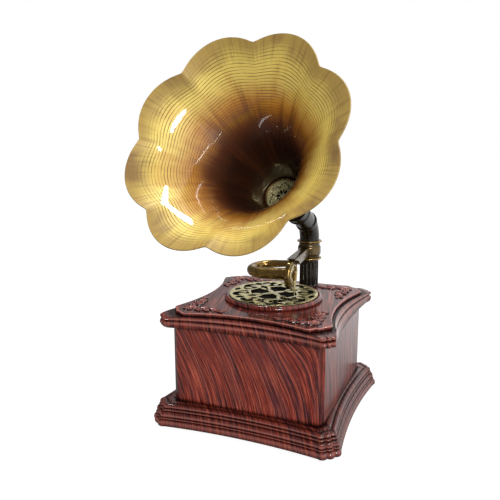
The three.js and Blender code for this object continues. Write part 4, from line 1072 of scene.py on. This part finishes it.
class PLAYER_OT_grille(bpy.types.Operator):
    """Raised bezel and the pierced disc in it"""

    bl_idname = "player.grille"
    bl_label = "Bezel and pierced disc"

    def execute(self, context):
        self.bezel()
        self.disc()
        dress("speaker_cloth", "black_cloth")
        return {"FINISHED"}

    def bezel(self):
        """The ring, with a rounded crest outside and a ledge for the disc inside."""
        inner, seat_radius, ledge, ease = 42.7, 38.7, 110.7, 0.2
        low, high = low_of("disc_bezel"), high_of("disc_bezel")
        outer = high.x - SPEAKER_MIDDLE.x
        profile = eased([
            (inner - ease, high.z - 0.7), (inner + 0.5, high.z - 0.1), (inner + 1.3, high.z),
            (outer - 1.6, high.z - 0.3), (outer - 0.3, high.z - 1.5), (outer, low.z + 1.6),
            (outer - 0.4, low.z + 0.5), (outer - 1.4, low.z)])
        profile += [(seat_radius, low.z), (seat_radius, ledge), (inner - ease, ledge)]
        add_piece("bezel_ring", moved(turned(profile, 128, closed=True), SPEAKER_MIDDLE), "base",
                  "rosewood", ["disc_bezel"], "rosewood_mouldings")

    def disc(self):
        """The pierced disc, a thin sheet flush with the top of its CAD node."""
        thickness, rim, rounding = 0.5, 1.6, 0.12
        high = high_of("pierced_disc")
        radius = high.x - SPEAKER_MIDDLE.x
        plate = pierced(radius, thickness, scroll_holes(4, radius - rim, DISC_HOLES), rounding)
        place = Vector((SPEAKER_MIDDLE.x, SPEAKER_MIDDLE.y, high.z - thickness))
        add_piece("scroll_disc", moved(plate, place), "base", "pale_gold", ["pierced_disc"], sharp=50)


def leaf_relief(length, width, height, fullness=0.75):
    """A carved leaf along X: a sunken midrib, raised halves and a scalloped edge."""
    scallops, scallop_depth, midrib_width, midrib_depth = 3, 0.14, 0.2, 0.6
    bluntness, least_half, fade_span, fade_start, fade_power = 0.8, 0.05, 0.94, 0.05, 0.4
    shape = bmesh.new()
    relief = shape.verts.layers.float.new("relief")
    bmesh.ops.create_grid(shape, x_segments=9, y_segments=8, size=1)
    for vert in shape.verts:
        share = (vert.co.x + 1) / 2
        across = vert.co.y
        half = width / 2 * math.sin(math.pi * share ** fullness) ** bluntness + least_half
        wave = 1 + scallop_depth * math.cos(share * scallops * FULL_TURN) * abs(across) ** 3
        midrib = midrib_depth * math.exp(-(across / midrib_width) ** 2)
        crown = (1 - across ** 2) ** 0.5 * (1 - midrib)
        fade = math.sin(math.pi * clamped(share * fade_span + fade_start)) ** fade_power
        vert.co = (length * share, half * across * wave, height * crown * fade)
        vert[relief] = crown * fade
    return thickened(shape)


def thickened(shape):
    """Closes an open relief down to a flat floor at z = 0."""
    edges = [edge for edge in shape.edges if edge.is_boundary]
    made = bmesh.ops.extrude_edge_only(shape, edges=edges)["geom"]
    for item in made:
        if isinstance(item, bmesh.types.BMVert):
            item.co.z = 0
    bmesh.ops.edgeloop_fill(shape, edges=[edge for edge in shape.edges if edge.is_boundary])
    bmesh.ops.recalc_face_normals(shape, faces=shape.faces)
    return shape


# Leaves of a spray: place along its stem and length, in millimetres.
SPRAY_LEAVES = ((4.5, 10.5), (8.5, 10.5), (13, 9.5), (17, 9), (27, 8))


class PLAYER_OT_carvings(bpy.types.Operator):
    """Carved flowers and leaf sprays in the slab's corners"""

    bl_idname = "player.carvings"
    bl_label = "Corner carvings"

    def execute(self, context):
        offset = 57
        tall = context.scene.base_sizes.carving_height / MM
        for i, corner in enumerate(CORNERS):
            name = f"carving_{corner}"
            turn = Matrix.Rotation(math.pi / 2 * i, 4, "Z")
            middle = BASE_MIDDLE + Vector((0, 0, low_of(name).z))
            middle += Vector((offset if i in (1, 2) else -offset, offset if i > 1 else -offset, 0))
            add_piece(f"carved_corner_{corner}",
                      moved(self.ornament(tall), Matrix.Translation(middle) @ turn), "base",
                      "carved_wood", [name], sharp=60)
        return {"FINISHED"}

    def ornament(self, tall):
        """A flower, and along each edge the same spray, the second one mirrored."""
        sprays = [self.spray(tall), self.spray(tall)]
        bmesh.ops.scale(sprays[1], vec=(1, -1, 1), verts=sprays[1].verts)
        bmesh.ops.recalc_face_normals(sprays[1], faces=sprays[1].faces)
        moved(sprays[1], Matrix.Rotation(math.pi / 2, 4, "Z"))
        return joined(flower(6, 7.4, tall), *sprays)

    def spray(self, tall):
        """A wavy stem with leaves to both sides, a smaller flower and a leaf at its tip."""
        lean, leaf_width = math.radians(34), 0.6
        parts = [vine(31, 1.7, 2.1, tall * 0.6)]
        for i, (along, length) in enumerate(SPRAY_LEAVES):
            side = 1 if i % 2 else -1
            place = Matrix.Translation((along, side * 0.4, 0)) @ Matrix.Rotation(lean * side, 4, "Z")
            parts.append(moved(leaf_relief(length, length * leaf_width, tall * 0.95), place))
        parts.append(moved(flower(5, 4.7, tall * 0.9), Vector((23.5, 0.6, 0))))
        parts.append(moved(leaf_relief(7.5, 4, tall * 0.7), Vector((29.5, 0, 0))))
        return joined(*parts)


def flower(petals, reach, tall):
    """A carved flower: petals round a bud."""
    bud_radius = reach * 0.28
    bud = turned(eased([(0, 0), (bud_radius, 0), (bud_radius, tall * 0.7), (bud_radius * 0.6, tall),
                        (0, tall)]), 20)
    relief = bud.verts.layers.float.new("relief")
    for vert in bud.verts:
        vert[relief] = vert.co.z / tall
    leaves = [moved(leaf_relief(reach, reach * 0.78, tall * 0.85, fullness=1.2),
                    Matrix.Rotation(FULL_TURN * i / petals + math.pi / 4, 4, "Z")) for i in range(petals)]
    return joined(bud, *leaves)


def vine(length, width, sway, height):
    """A carved stem that waves from side to side along X."""
    waves = 2
    shape = bmesh.new()
    relief = shape.verts.layers.float.new("relief")
    bmesh.ops.create_grid(shape, x_segments=30, y_segments=4, size=1)
    for vert in shape.verts:
        share = (vert.co.x + 1) / 2
        crown = math.sqrt(1 - vert.co.y ** 2)
        bend = sway * math.sin(share * waves * FULL_TURN)
        vert.co = (length * share, bend + vert.co.y * width / 2, height * crown)
        vert[relief] = crown
    return thickened(shape)


class PLAYER_OT_column(bpy.types.Operator):
    """Fluted column with its two collars"""

    bl_idname = "player.column"
    bl_label = "Column and collars"

    def execute(self, context):
        self.shaft()
        for name, body in (("lower_collar", "base"), ("upper_collar", "horn_and_neck")):
            self.collar(name, body)
        return {"FINISHED"}

    def shaft(self):
        """The column, whose flutes end in rounded tips."""
        flutes, steps, depth = 16, 10, 1.0
        seat_gap, top_tip, foot_tip, fade = 0.05, 4.4, 2.4, 0.8
        top_round, foot_round, edge_round, darkness = 2.6, 1.8, 0.3, 0.75
        foot_part, top_part, middle_rows, top_rows, row_gap = 3, 6, 4, 8, 0.5
        high = high_of("column")
        radius = high.x - COLUMN_FOOT.x
        bottom = high_of("top_panel").z + seat_gap
        heights = [bottom, bottom + 0.6, bottom + 1.2, bottom + 1.8, bottom + 2.6]
        heights += [bottom + foot_part + i * (high.z - bottom - foot_part - top_part) / middle_rows
                    for i in range(middle_rows + 1)]
        heights += [high.z - top_part + i * row_gap for i in range(1, top_rows + 1)]
        heights += [high.z - 1, high.z - 0.4, high.z]
        rings, tones = [], []
        for z in heights:
            edge = edge_round if z in (heights[0], heights[-1]) else 0
            ring, shade = [], []
            for i in range(flutes * steps):
                angle = FULL_TURN * i / (flutes * steps)
                dip = math.sin(math.pi * (i % steps) / steps)
                top = high.z - top_tip + top_round * dip
                foot = bottom + foot_tip - foot_round * dip
                open_share = clamped((top - z) / fade) * clamped((z - foot) / fade)
                r = radius - depth * dip ** 0.7 * open_share - edge
                ring.append(COLUMN_FOOT + Vector((r * math.cos(angle), r * math.sin(angle), z)))
                shade.append(darkness * dip * open_share)
            rings.append(ring)
            tones.append(shade)
        add_piece("fluted_column", lofted(rings, values={"hollow": tones}), "base", "dark_bronze",
                  ["column"], sharp=50)

    def collar(self, name, body):
        """One collar, with rounded shoulders."""
        bore, shoulder, round_off = 6.6, 1, 0.4
        low, high = low_of(name), high_of(name)
        outer = high.x - COLUMN_FOOT.x
        profile = eased([
            (bore, low.z), (outer - shoulder, low.z), (outer, low.z + round_off),
            (outer, high.z - round_off), (outer - shoulder, high.z), (bore, high.z)])
        add_piece(f"{name}_ring", moved(turned(profile, 64, closed=True), COLUMN_FOOT), body,
                  "dark_bronze", [name], "antique_brass")


def ring_round(middle, direction, up, radius, sides):
    """A ring of points round a direction."""
    side = direction.cross(up).normalized()
    top = side.cross(direction).normalized()
    return [middle + side * radius * math.cos(FULL_TURN * i / sides)
            + top * radius * math.sin(FULL_TURN * i / sides) for i in range(sides)]


class PLAYER_OT_arm(bpy.types.Operator):
    """Arm sleeve, bar, gooseneck, soundbox and needle"""

    bl_idname = "player.arm"
    bl_label = "Tonearm"

    def execute(self, context):
        self.sleeve()
        self.bar()
        self.gooseneck()
        self.soundbox()
        self.needle()
        return {"FINISHED"}

    def sleeve(self):
        """The turned sleeve, darker in the steps over and under its belt."""
        bore, belt_depth, darkness = 6.9, 1.3, 0.5
        low, high = low_of("arm_sleeve"), high_of("arm_sleeve")
        outer = high.x - COLUMN_FOOT.x
        rows = [(bore, 0), (outer - 1.4, 0), (outer - 1.3, 0.06), (outer - 1.2, 0.12),
                (outer - 0.2, 0.2), (outer, 0.3), (outer, 0.62), (outer - 0.2, 0.7),
                (outer - 1.2, 0.8), (outer - 1.3, 0.9), (outer - 1.3, 1), (bore, 1)]
        profile = eased([(radius, low.z + (high.z - low.z) * share) for radius, share in rows])

        def shade(radius):
            return darkness * clamped((outer - radius) / belt_depth)

        add_piece("turned_sleeve", moved(turned(profile, 72, closed=True, hollow=shade), COLUMN_FOOT),
                  "tonearm", "antique_brass", ["arm_sleeve"], "aged_brass")

    def bar(self):
        """The square bar, cut at one end to the sleeve and at the other to the soundbox."""
        tall, drop, sleeve_gap, box_gap, rows, chamfer = 8.5, 3.0, 0.3, 0.1, 6, 0.85
        low, high = low_of("tonearm_bar"), high_of("tonearm_bar")
        middle_x = (low.x + high.x) / 2
        sleeve_radius = high_of("arm_sleeve").x - COLUMN_FOOT.x + sleeve_gap
        box = middle_of("soundbox")
        box_radius = high_of("soundbox").z - box.z + box_gap
        width = high.x - low.x
        corners = []
        for x, z in ((-1, -1), (1, -1), (1, 1), (-1, 1)):
            cut = [(1, chamfer), (chamfer, 1)]
            for a, b in cut if x * z > 0 else cut[::-1]:
                corners.append((x * width / 2 * a, z * tall / 2 * b))
        section = eased(corners, closed=True)
        layers = []
        for row in range(rows + 1):
            share = row / rows
            layer = []
            for x, z in section:
                rise = high.z - tall / 2 - drop * share + z
                near = COLUMN_FOOT.y - math.sqrt(sleeve_radius ** 2 - (middle_x + x - COLUMN_FOOT.x) ** 2)
                over = box_radius ** 2 - (rise - box.z) ** 2
                far = box.y + math.sqrt(over) if over > 0 else low.y
                layer.append(Vector((middle_x + x, near + (max(far, low.y) - near) * share, rise)))
            layers.append(layer)
        add_piece("arm_bar", lofted(layers), "tonearm", "antique_brass", ["tonearm_bar"],
                  "aged_brass", sharp=35)

    def gooseneck(self):
        """The tapered tube: out of the soundbox, round a loop, and back to the bar."""
        bend, reach, sweep, steps, sides = 14.5, 27.15, math.radians(220), 32, 32
        climb, climb_power, dip, fat, thin, lift, return_gap = 7.3, 2.2, 2.3, 6.0, 3.1, 0.2, 14.2
        box = middle_of("soundbox")
        face = low_of("soundbox").x
        stations = [(Vector((face, box.y, 0)), Vector((-1, 0, 0)))]
        for i in range(steps + 1):
            angle = -math.pi / 2 - sweep * i / steps
            stations.append((
                Vector((face - reach + bend * math.cos(angle), box.y + bend + bend * math.sin(angle), 0)),
                Vector((math.sin(angle), -math.cos(angle), 0))))
        stations.append((Vector((low_of("tonearm_bar").x, box.y + return_gap, 0)), Vector((1, 0, 0))))
        runs = [0.0]
        for (point, _), (last, _) in zip(stations[1:], stations):
            runs.append(runs[-1] + (point - last).length)
        layers = []
        for (point, direction), run in zip(stations, runs):
            share = run / runs[-1]
            rise = box.z + lift + climb * share ** climb_power - dip * math.sin(math.pi * share)
            layers.append(ring_round(point + Vector((0, 0, rise)), direction, Vector((0, 0, 1)),
                                     fat + (thin - fat) * share, sides))
        add_piece("gooseneck_tube", lofted(layers), "tonearm", "antique_brass", ["gooseneck"], sharp=50)

    def soundbox(self):
        """The round case, dark in the groove of its face, and the bead on that face."""
        groove, darkness, bead_width, bead_round = (0.76, 0.88), 0.8, 1.4, 0.7
        box = middle_of("soundbox")
        radius = high_of("soundbox").z - box.z
        half = high_of("soundbox").x - box.x
        lean = Matrix.Translation(box) @ Matrix.Rotation(math.pi / 2, 4, "Y")
        face = [(0, half - 0.7), (radius * 0.62, half - 0.7), (radius * 0.66, half - 0.2),
                (radius * 0.74, half - 0.05), (radius * 0.8, half - 0.6), (radius * 0.86, half - 0.4),
                (radius * 0.9, half), (radius * 0.97, half - 0.3), (radius, half - 1.2)]
        profile = eased(face + [(r, -h) for r, h in reversed(face)])

        def shade(r):
            return darkness * (groove[0] * radius < r < groove[1] * radius)

        add_piece("soundbox_case", moved(turned(profile, 80, hollow=shade), lean), "tonearm",
                  "antique_brass", ["soundbox"])
        low, high = low_of("soundbox_ring"), high_of("soundbox_ring")
        outer = high.z - box.z
        near, far = low.x - box.x, high.x - box.x
        between = (near + far) / 2
        profile = eased([(outer, near), (outer, between), (outer - bead_round, far),
                         (outer - bead_width, between), (outer - bead_width, near)])
        add_piece("soundbox_bead", moved(turned(profile, 64, closed=True), lean), "tonearm",
                  "antique_brass", ["soundbox_ring"], "pale_gold")

    def needle(self):
        """The needle, ground to a point, in its holder."""
        tip, taper = 0.25, 3
        low, high = low_of("needle"), high_of("needle")
        middle = middle_of("needle").xy.to_3d()
        radius = high.x - middle.x
        profile = eased([(0, low.z), (tip, low.z), (2 * tip, low.z + taper),
                         (radius, (low.z + high.z) / 2), (radius, high.z - 0.3),
                         (radius * 0.7, high.z), (0, high.z)])
        add_piece("needle_pin", moved(turned(profile, 24), middle), "tonearm", "pale_gold", ["needle"])
        dress("needle_holder", "antique_brass", 0.25)


def horn_mm(*names):
    """Lengths of the horn's settings, in millimetres."""
    return [getattr(bpy.context.scene.horn_sizes, name) / MM for name in names]


def horn_axes():
    """The horn's frame in millimetres: +Z along the horn, +X to its side."""
    sizes = bpy.context.scene.horn_sizes
    aim = Vector((math.sin(-sizes.turn) * math.cos(sizes.tilt),
                  -math.cos(sizes.turn) * math.cos(sizes.tilt), math.sin(sizes.tilt)))
    side = Vector((0, 0, 1)).cross(aim).normalized()
    up = aim.cross(side)
    rise, = horn_mm("elbow_rise")
    place = COLUMN_FOOT + Vector((0, 0, high_of("upper_collar").z + rise))
    return Matrix.LocRotScale(place, Matrix((side, up, aim)).transposed(), None)


def petal_swell(angle):
    """How far a petal stands out: 0 in the crease, which is slightly rounded, and 1 in the middle."""
    soft, fullness = 0.12, 0.85
    wave = math.sqrt(math.sin(angle) ** 2 + soft ** 2) - soft
    return (wave / (math.sqrt(1 + soft ** 2) - soft)) ** fullness


def bore_at(reach):
    """Inner radius of the horn without petals, at a reach along its axis, in millimetres."""
    start, throat, mouth, first, narrow, wide = horn_mm(
        "start", "throat", "mouth", "start_radius", "throat_radius", "mouth_radius")
    if reach <= throat:
        return first + (narrow - first) * (reach - start) / (throat - start)
    flare = bpy.context.scene.horn_sizes.flare
    share = (reach - throat) / (mouth - throat)
    return narrow + (wide - narrow) * ((math.exp(flare * share) - 1) / (math.exp(flare) - 1))


class PLAYER_OT_horn(bpy.types.Operator):
    """Petalled horn, and the ring and rosette in its throat"""

    bl_idname = "player.horn"
    bl_label = "Horn"

    def execute(self, context):
        self.bell()
        self.throat()
        return {"FINISHED"}

    def ring(self, reach, wall, sides):
        """One ring of the horn's sheet. Its pleats are soft waves inside and petals at the rim."""
        slope_steps, petal_onset, swell_onset = 64, 3, 3.2
        start, mouth, narrow, wide, petal_rise, petal_lift = horn_mm(
            "start", "mouth", "throat_radius", "mouth_radius", "petal_rise", "petal_lift")
        half_petals = bpy.context.scene.horn_sizes.petals / 2
        step = (mouth - start) / slope_steps
        before, after = max(reach - step, start), min(reach + step, mouth)
        tilt = math.atan((bore_at(after) - bore_at(before)) / (after - before))
        bloom = max(0, (bore_at(reach) - narrow) / (wide - narrow))
        points = []
        for i in range(sides):
            angle = FULL_TURN * i / sides
            wave = math.sin(half_petals * angle) ** 2
            swell = wave + (petal_swell(half_petals * angle) - wave) * bloom ** petal_onset
            r = bore_at(reach) + petal_rise * swell * bloom ** swell_onset + wall * math.cos(tilt)
            z = reach + petal_lift * swell * bloom - wall * math.sin(tilt)
            points.append(Vector((r * math.cos(angle), r * math.sin(angle), z)))
        return points

    def bell(self):
        """The whole sheet of the horn, inside, rim and back, with the numbers its finish reads."""
        neck_rows, bell_rows, crowding, petal_sides = 8, 56, 1.5, 24
        start, throat, mouth, wall = horn_mm("start", "throat", "mouth", "wall")
        sides = bpy.context.scene.horn_sizes.petals * petal_sides
        reaches = [start + (throat - start) * i / neck_rows for i in range(neck_rows)]
        reaches += [throat + (mouth - throat) * (1 - (1 - i / bell_rows) ** crowding)
                    for i in range(bell_rows + 1)]
        runs = [0.0]
        for before, after in zip(reaches, reaches[1:]):
            runs.append(runs[-1] + math.hypot(after - before, bore_at(after) - bore_at(before)))
        at_throat = runs[neck_rows]
        shares = [(run - at_throat) / (runs[-1] - at_throat) for run in runs]
        rows = [(reach, 0, share) for reach, share in zip(reaches, shares)]
        rows += [(mouth, wall * share, 1.0) for share in (0.15, 0.5, 0.85)]
        inner_rows = len(rows)
        rows += [(reach, wall, share) for reach, share in reversed(list(zip(reaches, shares)))]
        layers = [self.ring(reach, depth, sides) for reach, depth, _ in rows]
        angles = [FULL_TURN * i / sides for i in range(sides)]
        values = {
            "run": [[share] * sides for _, _, share in rows],
            "outside": [[float(row >= inner_rows)] * sides for row in range(len(rows))],
            "cosine": [[math.cos(angle) for angle in angles]] * len(rows),
            "sine": [[math.sin(angle) for angle in angles]] * len(rows),
        }
        shape = moved(lofted(layers, closed=True, values=values), horn_axes())
        add_piece("petal_horn", shape, "horn_and_neck", "horn_brass", ["horn"], sharp=75)

    def throat(self):
        """The bead in the throat, and the pierced rosette and the cloth behind it."""
        depth, fit, bead_width, bead_round, bead_side, bead_tall = 2, 0.3, 1.4, 0.7, 1.2, 2
        plate_margin, field_margin, thickness, rounding = 1.7, 1.2, 1, 0.15
        place = horn_axes()
        throat, = horn_mm("throat")
        reach = throat - depth
        outer = bore_at(reach) - fit
        profile = eased([(outer - bead_width, reach), (outer, reach), (outer, reach + bead_side),
                         (outer - bead_round, reach + bead_tall), (outer - bead_width, reach + bead_side)])
        add_piece("throat_bead", moved(turned(profile, 64, closed=True), place), "horn_and_neck",
                  "antique_brass", ["throat_ring"])
        radius = outer - plate_margin
        holes = scroll_holes(6, radius - field_margin, ROSETTE_HOLES)
        plate = moved(pierced(radius, thickness, holes, rounding), Vector((0, 0, reach + fit)))
        add_piece("throat_scrolls", moved(plate, place), "horn_and_neck", "pale_gold",
                  ["throat_rosette"], sharp=50)
        dress("throat_cloth", "black_cloth")


class PLAYER_OT_neck(bpy.types.Operator):
    """Neck elbow, its band and the horn's socket"""

    bl_idname = "player.neck"
    bl_label = "Neck"

    def execute(self, context):
        bend_radius, straight, radius, foot_gap, foot_round = 24, 25, 9.8, 0.1, 0.4
        sides, bend_steps, band_step = 48, 24, 21
        place = horn_axes()
        origin = place.translation
        aim = place.col[2].xyz
        side = place.col[0].xyz
        up = Vector((0, 0, 1))
        bend = math.acos(aim.z)
        tangent = bend_radius * math.tan(bend / 2)
        forward = side.cross(up).normalized()
        if forward.dot(aim) < 0:
            forward.negate()
        centre = origin - up * tangent + forward * bend_radius
        bottom = high_of("upper_collar").z + foot_gap
        stations = [(Vector((origin.x, origin.y, bottom)), up, radius - 0.5),
                    (Vector((origin.x, origin.y, bottom + foot_round)), up, radius)]
        for i in range(bend_steps + 1):
            angle = bend * i / bend_steps
            stations.append((centre - forward * bend_radius * math.cos(angle)
                             + up * bend_radius * math.sin(angle),
                             up * math.cos(angle) + forward * math.sin(angle), radius))
        stations.append((origin + aim * (tangent + straight), aim, radius))
        layers = [ring_round(point, direction, direction.cross(side), size, sides)
                  for point, direction, size in stations]
        add_piece("neck_tube", lofted(layers), "horn_and_neck", "dark_bronze", ["neck_elbow"], sharp=50)

        middle, axis, _ = stations[2 + band_step]
        rows = eased([(-2.1, 9.85), (-2.1, 10.5), (-1.4, 10.95), (1.4, 10.95), (2.1, 10.5), (2.1, 9.85)])
        layers = [ring_round(middle + axis * along, axis, axis.cross(side), size, sides)
                  for along, size in rows]
        add_piece("neck_ring", lofted(layers, closed=True), "horn_and_neck", "antique_brass",
                  ["neck_band"], "dark_bronze")
        self.socket(place, tangent + straight)
        return {"FINISHED"}

    def socket(self, place, neck_end):
        """The stepped cup that holds the neck's end and the horn's."""
        overlap, reach, bore, horn_gap, horn_fit = 5, 13, 10.1, 0.3, 1.4
        start = neck_end - overlap
        end = start + reach
        first = horn_mm("start")[0] - horn_gap
        rows = eased([(bore, start), (10.8, start), (11.9, start + 0.7), (11.9, start + 1.6),
                      (11, start + 2.3), (11.3, end - 2.4), (12.4, end - 1.6), (13, end - 0.9),
                      (13, end)])
        rows += [(bore_at(end) + horn_fit, end), (bore_at(first) + horn_fit, first), (bore, first)]
        add_piece("horn_socket_cup", moved(turned(rows, 64, closed=True), place), "horn_and_neck",
                  "dark_bronze", ["horn_socket"])


class PLAYER_OT_rear(bpy.types.Operator):
    """Volume knob on the rear"""

    bl_idname = "player.rear"
    bl_label = "Volume knob"

    def execute(self, context):
        ribs, steps, rib_depth, rib_sharpness, ribs_end, skirt = 24, 6, 0.5, 3, 0.9, 12
        spindle_radius, spindle_round, spindle_end = 2.4, 0.4, -6
        low, high = low_of("volume_knob"), high_of("volume_knob")
        middle = middle_of("volume_knob")
        radius = high.x - middle.x
        rows = [(0.35, 0.0), (0.1, 0.03), (0, 0.1), (0, 0.82), (0.3, 0.92), (1.0, 0.98), (1.8, 1.0)]
        layers = []
        for inset, share in rows:
            layer = []
            for i in range(ribs * steps):
                angle = FULL_TURN * i / (ribs * steps)
                notch = rib_depth * (0.5 - 0.5 * math.cos(ribs * angle)) ** rib_sharpness * (share < ribs_end)
                r = radius - inset - notch
                layer.append(Vector((r * math.cos(angle), r * math.sin(angle), skirt * (share - 1))))
            layers.append(layer)
        tip = low.y - high.y
        spindle = turned([(0, tip), (spindle_radius - spindle_round, tip),
                          (spindle_radius, tip + spindle_round), (spindle_radius, spindle_end),
                          (0, spindle_end)], 24)
        lie = Matrix.Translation((middle.x, high.y, middle.z)) @ Matrix.Rotation(-math.pi / 2, 4, "X")
        shape = moved(joined(lofted(layers), spindle), lie)
        add_piece("ribbed_knob", shape, "volume", "antique_brass", ["volume_knob"], sharp=45)
        return {"FINISHED"}


# Finish and edge rounding of each CAD node that stays as it is.
FINISHES = {
    "base_plate": ("black_plastic", 0.3), "battery_tray": ("black_plastic", 0.2),
    "battery_pack": ("battery", 0.4), "control_board": ("circuit_board", 0),
    "volume_pot": ("steel", 0.2), "power_switch_body": ("steel", 0.2),
    "power_switch_slider": ("black_plastic", 0.2), "charging_socket": ("steel", 0.15),
    "audio_socket": ("black_plastic", 0.2), "column_nut": ("steel", 0.3),
    "speaker_frame": ("steel", 0.2), "speaker_magnet": ("magnet", 0.4),
    "speaker_surround": ("black_plastic", 0), "speaker_cone": ("paper_cone", 0),
    "dust_cap": ("paper_cone", 0), "horn_driver": ("magnet", 0.3),
    "volume_shaft": ("steel", 0.1),
}


class PLAYER_OT_carried(bpy.types.Operator):
    """Finishes of the CAD pieces that stay as they are"""

    bl_idname = "player.carried"
    bl_label = "Carried pieces"

    def execute(self, context):
        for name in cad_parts:
            if name.startswith("base_screw"):
                dress(name, "steel", 0.2)
            elif name.startswith("push_button"):
                dress(name, "antique_brass", 0.3)
            elif name in FINISHES:
                dress(name, *FINISHES[name])
        return {"FINISHED"}


STEPS = (PLAYER_OT_plinth, PLAYER_OT_cabinet, PLAYER_OT_lid, PLAYER_OT_carvings, PLAYER_OT_grille,
         PLAYER_OT_column, PLAYER_OT_arm, PLAYER_OT_neck, PLAYER_OT_horn, PLAYER_OT_rear,
         PLAYER_OT_carried, PLAYER_OT_stage)


class PLAYER_PT_build(bpy.types.Panel):
    """Build steps of the record player"""

    bl_idname = "PLAYER_PT_build"
    bl_label = "Record player"
    bl_space_type = "VIEW_3D"
    bl_region_type = "UI"
    bl_category = "Player"

    def draw(self, context):
        for step in STEPS:
            self.layout.operator(step.bl_idname)


GROUPS = (BaseSizes, HornSizes, PlayerColours)


def register():
    for item in GROUPS + STEPS + (PLAYER_PT_build,):
        bpy.utils.register_class(item)
    bpy.types.Scene.base_sizes = PointerProperty(type=BaseSizes)
    bpy.types.Scene.horn_sizes = PointerProperty(type=HornSizes)
    bpy.types.Scene.player_colours = PointerProperty(type=PlayerColours)


def unregister():
    del bpy.types.Scene.player_colours
    del bpy.types.Scene.horn_sizes
    del bpy.types.Scene.base_sizes
    for item in reversed(GROUPS + STEPS + (PLAYER_PT_build,)):
        bpy.utils.unregister_class(item)


def main():
    register()
    scene = bpy.context.scene
    scene.view_settings.view_transform = "Standard"
    add_camera()
    for step in STEPS:
        group, name = step.bl_idname.split(".")
        getattr(getattr(bpy.ops, group), name)()


if __name__ == "__main__":
    main()
